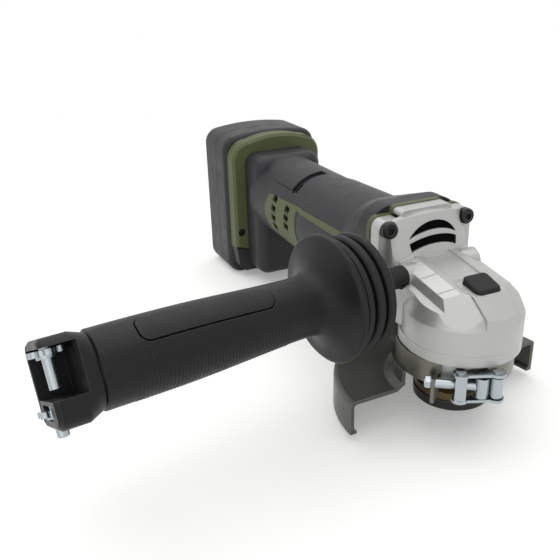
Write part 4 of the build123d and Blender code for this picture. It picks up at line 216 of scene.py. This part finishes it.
def surface(name, tint, metallic, roughness, grain, mottle, edge, gleam=0.5):
    """Material with a fine grain, a mottled tint and softened, slightly rubbed edges.

    grain is its size and depth in mm, mottle its size in mm and its share of the tint, and edge the
    edges' rounding in mm and how far they are rubbed.
    """
    grain_mm, grain_depth_mm = grain
    mottle_mm, mottle_share = mottle
    edge_mm, edge_light = edge
    material = bpy.data.materials.new(name)
    material.use_nodes = True
    tree = material.node_tree
    tree.nodes.clear()
    shader = add_node(
        tree, "ShaderNodeBsdfPrincipled", {"Metallic": metallic, "Specular IOR Level": gleam}
    )
    add_node(tree, "ShaderNodeOutputMaterial", {"Surface": shader.outputs["BSDF"]})
    place = add_node(tree, "ShaderNodeTexCoord").outputs["Object"]
    patches = add_node(
        tree, "ShaderNodeTexNoise", {"Vector": place, "Scale": per_metre(mottle_mm), "Detail": 4.0}
    ).outputs["Fac"]
    # Rubbed edges: where the rounded normal leaves the face's own normal
    rounded = add_node(
        tree, "ShaderNodeBevel", {"Radius": edge_mm * MILLIMETRE}, samples=4
    ).outputs["Normal"]
    faced = add_node(tree, "ShaderNodeNewGeometry").outputs["Normal"]
    agreement = add_node(
        tree, "ShaderNodeVectorMath", {0: rounded, 1: faced}, operation="DOT_PRODUCT"
    ).outputs["Value"]
    rubbed = add_node(
        tree, "ShaderNodeMapRange",
        {"Value": agreement, "From Min": FLAT_FACE, "From Max": SHARP_EDGE,
         "To Min": 0.0, "To Max": edge_light},
    ).outputs["Result"]
    dark = [c * (1 - mottle_share) for c in tint] + [1.0]
    light = [min(1.0, c * (1 + mottle_share)) for c in tint] + [1.0]
    worn = [c + (1 - c) * WORN_LIFT for c in tint] + [1.0]
    tinted = add_node(
        tree, "ShaderNodeMix", {"Factor": patches, 6: dark, 7: light}, data_type="RGBA"
    ).outputs[2]
    shaded = add_node(
        tree, "ShaderNodeMix", {"Factor": rubbed, 6: tinted, 7: worn}, data_type="RGBA"
    ).outputs[2]
    tree.links.new(shaded, shader.inputs["Base Color"])
    gloss = add_node(
        tree, "ShaderNodeMapRange",
        {"Value": patches, "From Min": 0.3, "From Max": 0.7,
         "To Min": roughness - GLOSS_SPREAD, "To Max": roughness + GLOSS_SPREAD},
    ).outputs["Result"]
    tree.links.new(gloss, shader.inputs["Roughness"])
    bumps = add_node(
        tree, "ShaderNodeTexNoise", {"Vector": place, "Scale": per_metre(grain_mm), "Detail": 2.0}
    ).outputs["Fac"]
    relief = add_node(
        tree, "ShaderNodeBump",
        {"Height": bumps, "Strength": 1.0, "Distance": grain_depth_mm * MILLIMETRE, "Normal": rounded},
    ).outputs["Normal"]
    tree.links.new(relief, shader.inputs["Normal"])
    return material


def glass_filled_nylon(colours):
    """Housing plastic: glass-filled nylon, moulded in a spark-eroded tool, so a fine dull grain."""
    return surface(
        "glass_filled_nylon_black", colours.body, metallic=0.0, roughness=0.48,
        grain=(0.7, 0.014), mottle=(9.0, 0.08), edge=(0.4, 0.25), gleam=0.3,
    )


def grip_nylon(colours):
    """Handle plastic: nylon, moulded smoother and darker than the housing."""
    return surface(
        "grip_nylon_black", colours.grip, metallic=0.0, roughness=0.44,
        grain=(0.6, 0.01), mottle=(12.0, 0.08), edge=(0.4, 0.2), gleam=0.25,
    )


def olive_nylon(colours):
    """Accent plastic: the housing's nylon, coloured through."""
    return surface(
        "glass_filled_nylon_olive", colours.olive, metallic=0.0, roughness=0.5,
        grain=(0.7, 0.014), mottle=(9.0, 0.07), edge=(0.4, 0.25), gleam=0.3,
    )


def moulded_rubber(colours):
    """Soft black rubber, moulded: no gloss and hardly any grain."""
    return surface(
        "moulded_rubber_black", colours.rubber, metallic=0.0, roughness=0.56,
        grain=(0.5, 0.01), mottle=(7.0, 0.1), edge=(0.5, 0.15), gleam=0.25,
    )


def cast_aluminium(colours):
    """Die-cast aluminium, shot-blasted and lightly lacquered: satin, with a fine even grain."""
    return surface(
        "cast_aluminium_satin", colours.casting, metallic=0.55, roughness=0.38,
        grain=(0.8, 0.008), mottle=(6.0, 0.04), edge=(0.6, 0.5),
    )


def coated_steel(colours):
    """Pressed steel sheet with a thin dark grey coat: half gloss, with an orange-peel skin."""
    return surface(
        "coated_steel_gunmetal", colours.guard, metallic=0.55, roughness=0.4,
        grain=(2.0, 0.012), mottle=(14.0, 0.08), edge=(0.4, 0.5),
    )


def lit_guard_coat(colours):
    """Lit copy of the guard's coated steel for its band: lighter and more metallic than the shell, painted
    light.
    """
    return surface(
        "guard_coat_lit_copy", colours.band, metallic=0.85, roughness=0.34,
        grain=(2.0, 0.006), mottle=(8.0, 0.08), edge=(0.4, 0.4),
    )


def zinc_plate(colours):
    """Bright zinc plating on small steel pieces: glossy, a little cloudy."""
    return surface(
        "zinc_plate_bright", colours.zinc, metallic=1.0, roughness=0.26,
        grain=(1.0, 0.003), mottle=(3.0, 0.06), edge=(0.3, 0.4),
    )


def black_oxide_steel(colours):
    """Turned steel blackened in an oxide bath: dark, with a low oily sheen."""
    return surface(
        "black_oxide_steel", colours.black_oxide, metallic=0.6, roughness=0.36,
        grain=(0.6, 0.006), mottle=(5.0, 0.12), edge=(0.4, 0.5),
    )


def yellow_chromate(colours):
    """Zinc with a yellow chromate rinse: brassy, uneven in colour."""
    return surface(
        "yellow_chromate_zinc", colours.chromate, metallic=1.0, roughness=0.36,
        grain=(0.8, 0.006), mottle=(3.5, 0.2), edge=(0.3, 0.4),
    )


def ground_steel(colours):
    """Ground and hardened steel of shafts, gears and races."""
    return surface(
        "ground_steel", colours.steel, metallic=1.0, roughness=0.26,
        grain=(0.4, 0.003), mottle=(4.0, 0.06), edge=(0.2, 0.4),
    )


def sintered_bronze(colours):
    """Sintered or stamped bronze of the bush, commutator and contacts."""
    return surface(
        "sintered_bronze", colours.bronze, metallic=1.0, roughness=0.34,
        grain=(0.5, 0.006), mottle=(3.0, 0.1), edge=(0.2, 0.3),
    )


def enamelled_copper(colours):
    """Enamelled copper wire of the windings."""
    return surface(
        "enamelled_copper", colours.copper, metallic=1.0, roughness=0.3,
        grain=(1.2, 0.08), mottle=(3.0, 0.15), edge=(0.3, 0.2),
    )


def sintered_ferrite(colours):
    """Sintered ferrite magnets, ground on their faces."""
    return surface(
        "sintered_ferrite", colours.ferrite, metallic=0.2, roughness=0.5,
        grain=(0.5, 0.01), mottle=(5.0, 0.1), edge=(0.3, 0.3),
    )


def pressed_carbon(colours):
    """Pressed carbon brushes, dull and slightly dusty."""
    return surface(
        "pressed_carbon", colours.carbon, metallic=0.1, roughness=0.6,
        grain=(0.4, 0.01), mottle=(3.0, 0.15), edge=(0.3, 0.4),
    )


def shrink_sleeve(colours):
    """Thin PVC sleeve shrunk on the cells."""
    return surface(
        "pvc_shrink_sleeve", colours.sleeve, metallic=0.0, roughness=0.32,
        grain=(3.0, 0.02), mottle=(12.0, 0.05), edge=(0.4, 0.2),
    )


def painted_vent_shade(colours):
    """Near-black sheet behind the vents: painted shade that makes them look dark inside, and hardly returns
    any light.
    """
    return surface(
        "painted_vent_shade_black", colours.vent_shade, metallic=0.0, roughness=0.9,
        grain=(0.8, 0.2), mottle=(4.0, 0.2), edge=(0.1, 0.0), gleam=0.05,
    )


def coated_laminate(colours):
    """Circuit board laminate under solder resist."""
    return surface(
        "coated_laminate", colours.board, metallic=0.0, roughness=0.35,
        grain=(1.0, 0.01), mottle=(4.0, 0.1), edge=(0.2, 0.3),
    )


def dress(material, *names):
    """Gives CAD nodes their material."""
    for name in names:
        mesh = NODES[name].data
        mesh.materials.clear()
        mesh.materials.append(material)


def rib_tree(material):
    """Geometry nodes: thin ribs round the grip, each laid on the solid that it finds under it."""
    tree = bpy.data.node_groups.new("grip_ribs", "GeometryNodeTree")
    sockets = {}
    for label, kind in (
        ("Grip", "NodeSocketObject"), ("Start", "NodeSocketVector"), ("End", "NodeSocketVector"),
        ("Axis", "NodeSocketVector"), ("Middle", "NodeSocketVector"), ("Count", "NodeSocketInt"),
        ("Sweep", "NodeSocketFloat"), ("Radius", "NodeSocketFloat"), ("Reach", "NodeSocketFloat"),
    ):
        sockets[label] = tree.interface.new_socket(label, in_out="INPUT", socket_type=kind).identifier
    tree.interface.new_socket("Geometry", in_out="OUTPUT", socket_type="NodeSocketGeometry")
    given = add_node(tree, "NodeGroupInput").outputs
    line = add_node(tree, "GeometryNodeCurvePrimitiveLine", {"Start": given["Start"], "End": given["End"]})
    spots = add_node(
        tree, "GeometryNodeResampleCurve", {"Curve": line.outputs["Curve"], "Count": given["Count"]}
    )
    solid = add_node(tree, "GeometryNodeObjectInfo", {"Object": given["Grip"]})
    found = add_node(
        tree, "GeometryNodeRaycast",
        {"Target Geometry": solid.outputs["Geometry"], "Ray Direction": given["Middle"],
         "Ray Length": given["Reach"]},
    )
    half = add_node(tree, "ShaderNodeMath", {0: given["Sweep"], 1: -0.5}, operation="MULTIPLY")
    arc = add_node(
        tree, "GeometryNodeCurveArc",
        {"Resolution": RIB_STEPS, "Radius": 1.0,
         "Start Angle": half.outputs[0], "Sweep Angle": given["Sweep"]},
    )
    section_size = add_node(
        tree, "ShaderNodeMath", {0: given["Radius"], 1: given["Reach"]}, operation="DIVIDE"
    )
    section = add_node(
        tree, "GeometryNodeCurvePrimitiveCircle", {"Resolution": RIB_SIDES, "Radius": section_size.outputs[0]}
    )
    rib = add_node(
        tree, "GeometryNodeCurveToMesh",
        {"Curve": arc.outputs["Curve"], "Profile Curve": section.outputs["Curve"], "Fill Caps": True},
    )
    turn = add_node(
        tree, "FunctionNodeAxesToRotation", {0: given["Axis"], 1: given["Middle"]},
        primary_axis="Z", secondary_axis="X",
    )
    laid = add_node(
        tree, "GeometryNodeInstanceOnPoints",
        {"Points": spots.outputs["Curve"], "Instance": rib.outputs["Mesh"],
         "Rotation": turn.outputs["Rotation"], "Scale": found.outputs["Hit Distance"]},
    )
    real = add_node(tree, "GeometryNodeRealizeInstances", {"Geometry": laid.outputs["Instances"]})
    finished = add_node(
        tree, "GeometryNodeSetMaterial", {"Geometry": real.outputs["Geometry"], "Material": material}
    )
    add_node(tree, "NodeGroupOutput", {"Geometry": finished.outputs["Geometry"]})
    return tree, sockets


def plain_mesh(name, tree, sockets, values):
    """Object whose mesh is what a node tree makes from these inputs."""
    holder = bpy.data.objects.new(name, bpy.data.meshes.new(name))
    bpy.context.scene.collection.objects.link(holder)
    modifier = holder.modifiers.new("maker", "NODES")
    modifier.node_group = tree
    for label, value in values.items():
        modifier[sockets[label]] = value
    holder.update_tag()
    graph = bpy.context.evaluated_depsgraph_get()
    made = bpy.data.meshes.new_from_object(holder.evaluated_get(graph))
    holder.modifiers.remove(modifier)
    holder.data = made
    if not made.polygons:
        raise RuntimeError(name + " came out empty")
    return holder


def seen_rays(tree):
    """Socket that is 1 for rays that show the background: seen directly, in metal or through glass."""
    path = add_node(tree, "ShaderNodeLightPath").outputs
    direct = add_node(
        tree, "ShaderNodeMath", {0: path["Is Camera Ray"], 1: path["Is Transmission Ray"]},
        operation="MAXIMUM",
    ).outputs[0]
    return add_node(
        tree, "ShaderNodeMath", {0: direct, 1: path["Is Glossy Ray"]}, operation="MAXIMUM"
    ).outputs[0]


def arch(half_width, end, middle):
    """Function that gives a shallow arch's height at x."""
    rise = middle - end
    radius = (half_width ** 2 + rise ** 2) / (2 * rise)
    return lambda x: middle - radius + sqrt(radius ** 2 - x ** 2)


def face_grid(vents, low, high, columns=40, rows=6):
    """Points behind the gear case's hollow vent face, between a lower and an upper arch."""
    grid = []
    for column in range(columns + 1):
        x = vents.half_width * (2 * column / columns - 1)
        hollow = vents.face_radius - sqrt(vents.face_radius ** 2 - x ** 2)
        heights = [low(x) + (high(x) - low(x)) * row / rows for row in range(rows + 1)]
        leans = [vents.face_front + hollow + (z - vents.face_foot) * tan(vents.face_lean) for z in heights]
        grid.append([(x, y + vents.depth, z) for y, z in zip(leans, heights)])
    return grid


def tube_grid(vents, side, rows=24):
    """Points just inside the motor housing's tube, behind one side's vents."""
    angles = [vents.tube_half_angle * (2 * row / rows - 1) for row in range(rows + 1)]
    radius = vents.tube_radius
    ring = [(side * radius * cos(a), vents.tube_height + radius * sin(a)) for a in angles]
    return [[(x, y, z) for x, z in ring] for y in (vents.tube_front, vents.tube_back)]


def sheet_mesh(name, grid, thickness):
    """Thin closed sheet over a grid of points."""
    made = bmesh.new()
    spots = [[made.verts.new(point) for point in column] for column in grid]
    for near, far in zip(spots, spots[1:]):
        for row in range(len(near) - 1):
            made.faces.new([near[row], far[row], far[row + 1], near[row + 1]])
    bmesh.ops.remove_doubles(made, verts=made.verts, dist=1e-6)
    bmesh.ops.solidify(made, geom=made.faces[:], thickness=thickness)
    bmesh.ops.recalc_face_normals(made, faces=made.faces[:])
    mesh = bpy.data.meshes.new(name)
    made.to_mesh(mesh)
    made.free()
    return mesh


def add_shade_sheet(name, grid, thickness, vent_shade):
    """Near-black sheet of painted shade behind vents, which stays with the tool's body."""
    mesh = sheet_mesh(name, grid, thickness)
    mesh.materials.append(vent_shade)
    screen = bpy.data.objects.new(name, mesh)
    bpy.context.scene.collection.objects.link(screen)
    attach(screen, "tool_body")


class GRINDER_OT_stage(bpy.types.Operator):
    """Sets the camera, the pale floor and the soft lamps"""
    bl_idname = "grinder.stage"
    bl_label = "Stage"

    def execute(self, context):
        settings = context.scene.grinder_stage
        self.place_camera(context, settings)
        self.lay_floor(context, settings)
        self.light(context, settings)
        context.scene.view_settings.view_transform = "Standard"
        return {"FINISHED"}

    def place_camera(self, context, settings):
        a, e, r = settings.azimuth, settings.elevation, settings.roll
        back = Vector((sin(a) * cos(e), -cos(a) * cos(e), sin(e)))
        level = Vector((cos(a), sin(a), 0))
        upright = back.cross(level)
        across = level * cos(r) + upright * sin(r)
        up = upright * cos(r) - level * sin(r)
        lens = bpy.data.cameras.new("camera")
        lens.lens = settings.lens
        lens.sensor_width = FILM_WIDTH
        lens.clip_start = 0.01
        camera = bpy.data.objects.new("camera", lens)
        turned = Matrix((across, up, back)).transposed().to_4x4()
        camera.matrix_world = Matrix.Translation(Vector(settings.target) + back * settings.distance) @ turned
        context.scene.collection.objects.link(camera)
        context.scene.camera = camera

    def lay_floor(self, context, settings):
        reach = 2 * settings.floor_far
        mesh = bpy.data.meshes.new("floor")
        corners = [(-reach, -reach), (reach, -reach), (reach, reach), (-reach, reach)]
        mesh.from_pydata([(x, y, 0) for x, y in corners], [], [(0, 1, 2, 3)])
        floor = bpy.data.objects.new("floor", mesh)
        floor.location = (settings.target[0], settings.target[1], FLOOR_LEVEL)
        context.scene.collection.objects.link(floor)
        paper = bpy.data.materials.new("backdrop_paper")
        paper.use_nodes = True
        tree = paper.node_tree
        tree.nodes.clear()
        tint = list(settings.floor_colour) + [1.0]
        lit = add_node(tree, "ShaderNodeBsdfDiffuse", {"Color": tint}).outputs["BSDF"]
        glow = add_node(
            tree, "ShaderNodeMath", {0: seen_rays(tree), 1: settings.floor_glow}, operation="MULTIPLY"
        ).outputs[0]
        own = add_node(tree, "ShaderNodeEmission", {"Color": tint, "Strength": glow}).outputs["Emission"]
        sheet = add_node(tree, "ShaderNodeAddShader", {0: lit, 1: own}).outputs["Shader"]
        gone = add_node(tree, "ShaderNodeBsdfTransparent").outputs["BSDF"]
        place = add_node(tree, "ShaderNodeTexCoord").outputs["Object"]
        away = add_node(tree, "ShaderNodeVectorMath", {0: place}, operation="LENGTH").outputs["Value"]
        fade = add_node(
            tree, "ShaderNodeMapRange",
            {"Value": away, "From Min": settings.floor_near, "From Max": settings.floor_far},
            interpolation_type="SMOOTHSTEP",
        ).outputs["Result"]
        mixed = add_node(tree, "ShaderNodeMixShader", {0: fade, 1: sheet, 2: gone}).outputs["Shader"]
        add_node(tree, "ShaderNodeOutputMaterial", {"Surface": mixed})
        mesh.materials.append(paper)

    def light(self, context, settings):
        world = bpy.data.worlds.new("studio")
        world.use_nodes = True
        context.scene.world = world
        tree = world.node_tree
        tree.nodes.clear()
        strength = add_node(
            tree, "ShaderNodeMapRange",
            {"Value": seen_rays(tree), "To Min": settings.sky_strength, "To Max": 1.0},
        ).outputs["Result"]
        sky = add_node(tree, "ShaderNodeBackground", {"Color": (1, 1, 1, 1), "Strength": strength})
        add_node(tree, "ShaderNodeOutputWorld", {"Surface": sky.outputs["Background"]})
        for name, power, size, place in (
            ("key_lamp", settings.key_power, settings.key_size, settings.key_place),
            ("fill_lamp", settings.fill_power, settings.fill_size, settings.fill_place),
        ):
            lamp = bpy.data.lights.new(name, "AREA")
            lamp.energy = power
            lamp.size = size
            holder = bpy.data.objects.new(name, lamp)
            holder.location = place
            aim = Vector(settings.target) - Vector(place)
            holder.rotation_euler = aim.to_track_quat("-Z", "Y").to_euler()
            context.scene.collection.objects.link(holder)


class GRINDER_OT_head(bpy.types.Operator):
    """Finishes the gear case, its cover, its screws and the spindle lock"""
    bl_idname = "grinder.head"
    bl_label = "Gear head"

    def execute(self, context):
        colours = context.scene.grinder_colours
        dress(cast_aluminium(colours), "gear_case", "bearing_cover")
        dress(black_oxide_steel(colours), "flange_screws", "cover_screws")
        dress(moulded_rubber(colours), "lock_button")
        dress(ground_steel(colours), "lock_pin", "lock_spring")
        self.shade_vents(context.scene.grinder_vents, painted_vent_shade(colours))
        return {"FINISHED"}

    def shade_vents(self, vents, vent_shade):
        # Near-black sheets behind the gear case's vents: painted shade
        half = vents.half_width
        for name, (low, high) in VENT_ARCHES.items():
            grid = face_grid(vents, arch(half, *low), arch(half, *high))
            add_shade_sheet(name, grid, vents.thickness, vent_shade)


class GRINDER_OT_drive(bpy.types.Operator):
    """Finishes the spindle, gears, bearings and the motor inside"""
    bl_idname = "grinder.drive"
    bl_label = "Drive"

    def execute(self, context):
        colours = context.scene.grinder_colours
        dress(
            ground_steel(colours), "spindle", "bevel_gear", "pinion", "motor_shaft", "spindle_bearing_outer",
            "spindle_bearing_inner", "motor_bearing_outers", "motor_bearing_inners", "bearing_ball_sets",
            "armature_core",
        )
        dress(black_oxide_steel(colours), "motor_can")
        dress(sintered_bronze(colours), "spindle_bush", "commutator", "brush_holders")
        dress(enamelled_copper(colours), "windings")
        dress(sintered_ferrite(colours), "magnets")
        dress(pressed_carbon(colours), "brushes")
        dress(glass_filled_nylon(colours), "fan")
        return {"FINISHED"}


class GRINDER_OT_wheel_side(bpy.types.Operator):
    """Finishes the guard, its clamp and the wheel's flange and nut"""
    bl_idname = "grinder.wheel_side"
    bl_label = "Wheel side"

    def execute(self, context):
        colours = context.scene.grinder_colours
        dress(coated_steel(colours), "guard_shell")
        # The band gets a lit copy of the guard's coat: painted light
        dress(lit_guard_coat(colours), "guard_band")
        dress(zinc_plate(colours), "clamp_lever", "clamp_rivets", "clamp_bolt", "clamp_trunnion")
        dress(yellow_chromate(colours), "inner_flange")
        dress(black_oxide_steel(colours), "lock_nut")
        return {"FINISHED"}


class GRINDER_OT_handle(bpy.types.Operator):
    """Finishes the side handle and lays the ribs on its grip"""
    bl_idname = "grinder.handle"
    bl_label = "Side handle"

    def execute(self, context):
        colours = context.scene.grinder_colours
        sizes = context.scene.grinder_sizes
        nylon = grip_nylon(colours)
        dress(nylon, "handle_grip", "grip_panel", "end_block")
        dress(moulded_rubber(colours), "handle_damper")
        dress(zinc_plate(colours), "end_studs", "star_nut_upper", "star_nut_lower")
        dress(ground_steel(colours), "handle_stud")
        self.lay_ribs(sizes, nylon)
        return {"FINISHED"}

    def lay_ribs(self, sizes, nylon):
        tree, sockets = rib_tree(nylon)
        front = Vector((0, 0, 1)).cross(HANDLE_AXIS)
        for name, side in (("grip_ribs_front", 1), ("grip_ribs_back", -1)):
            turn = side * sizes.rib_middle
            middle = Vector((0, 0, cos(turn))) + front * sin(turn)
            ribs = plain_mesh(name, tree, sockets, {
                "Grip": NODES["handle_grip"],
                "Start": HANDLE_POINT + HANDLE_AXIS * sizes.rib_first,
                "End": HANDLE_POINT + HANDLE_AXIS * sizes.rib_last,
                "Axis": HANDLE_AXIS,
                "Middle": middle,
                "Count": sizes.rib_count,
                "Sweep": sizes.rib_sweep,
                "Radius": sizes.rib_radius,
                "Reach": sizes.rib_reach,
            })
            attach(ribs, "side_handle")


class GRINDER_OT_body(bpy.types.Operator):
    """Finishes the motor housing, its panels, the slide switch and the battery dock"""
    bl_idname = "grinder.body"
    bl_label = "Body and dock"

    def execute(self, context):
        colours = context.scene.grinder_colours
        dress(
            glass_filled_nylon(colours), "motor_housing", "dock_shoulder", "dock_foot", "switch_slider",
            "switch_link", "switch_unit", "terminal_block",
        )
        dress(olive_nylon(colours), "dock_frame", "side_panel_left", "side_panel_right", "baffle_ring")
        dress(black_oxide_steel(colours), "dock_screws")
        dress(coated_laminate(colours), "control_board")
        vents = context.scene.grinder_vents
        vent_shade = painted_vent_shade(colours)
        # Near-black sheets inside the motor housing's side vents: painted shade
        for name, side in (("dust_screen_left", -1), ("dust_screen_right", 1)):
            add_shade_sheet(name, tube_grid(vents, side), vents.tube_thickness, vent_shade)
        return {"FINISHED"}


class GRINDER_OT_battery(bpy.types.Operator):
    """Finishes the battery pack and what is in it"""
    bl_idname = "grinder.battery"
    bl_label = "Battery"

    def execute(self, context):
        colours = context.scene.grinder_colours
        dress(glass_filled_nylon(colours), "battery_case_front", "battery_case_rear", "battery_release")
        dress(shrink_sleeve(colours), "battery_cells")
        dress(sintered_bronze(colours), "battery_contacts")
        dress(black_oxide_steel(colours), "battery_screws")
        return {"FINISHED"}


OPERATORS = (
    GRINDER_OT_stage, GRINDER_OT_head, GRINDER_OT_drive, GRINDER_OT_wheel_side,
    GRINDER_OT_handle, GRINDER_OT_body, GRINDER_OT_battery,
)


class GRINDER_PT_panel(bpy.types.Panel):
    """Lists the steps that dress the grinder"""
    bl_label = "Grinder"
    bl_idname = "GRINDER_PT_panel"
    bl_space_type = "VIEW_3D"
    bl_region_type = "UI"
    bl_category = "Grinder"

    def draw(self, context):
        for step in OPERATORS:
            self.layout.operator(step.bl_idname)


GROUPS = {
    "grinder_colours": GrinderColours,
    "grinder_sizes": GrinderSizes,
    "grinder_vents": GrinderVents,
    "grinder_stage": GrinderStage,
}
CLASSES = tuple(GROUPS.values()) + OPERATORS + (GRINDER_PT_panel,)


def register():
    for item in CLASSES:
        bpy.utils.register_class(item)
    for name, group in GROUPS.items():
        setattr(bpy.types.Scene, name, PointerProperty(type=group))


def unregister():
    for name in GROUPS:
        delattr(bpy.types.Scene, name)
    for item in reversed(CLASSES):
        bpy.utils.unregister_class(item)


def main():
    register()
    bpy.ops.grinder.stage()
    bpy.ops.grinder.head()
    bpy.ops.grinder.drive()
    bpy.ops.grinder.wheel_side()
    bpy.ops.grinder.handle()
    bpy.ops.grinder.body()
    bpy.ops.grinder.battery()


if __name__ == "__main__":
    main()
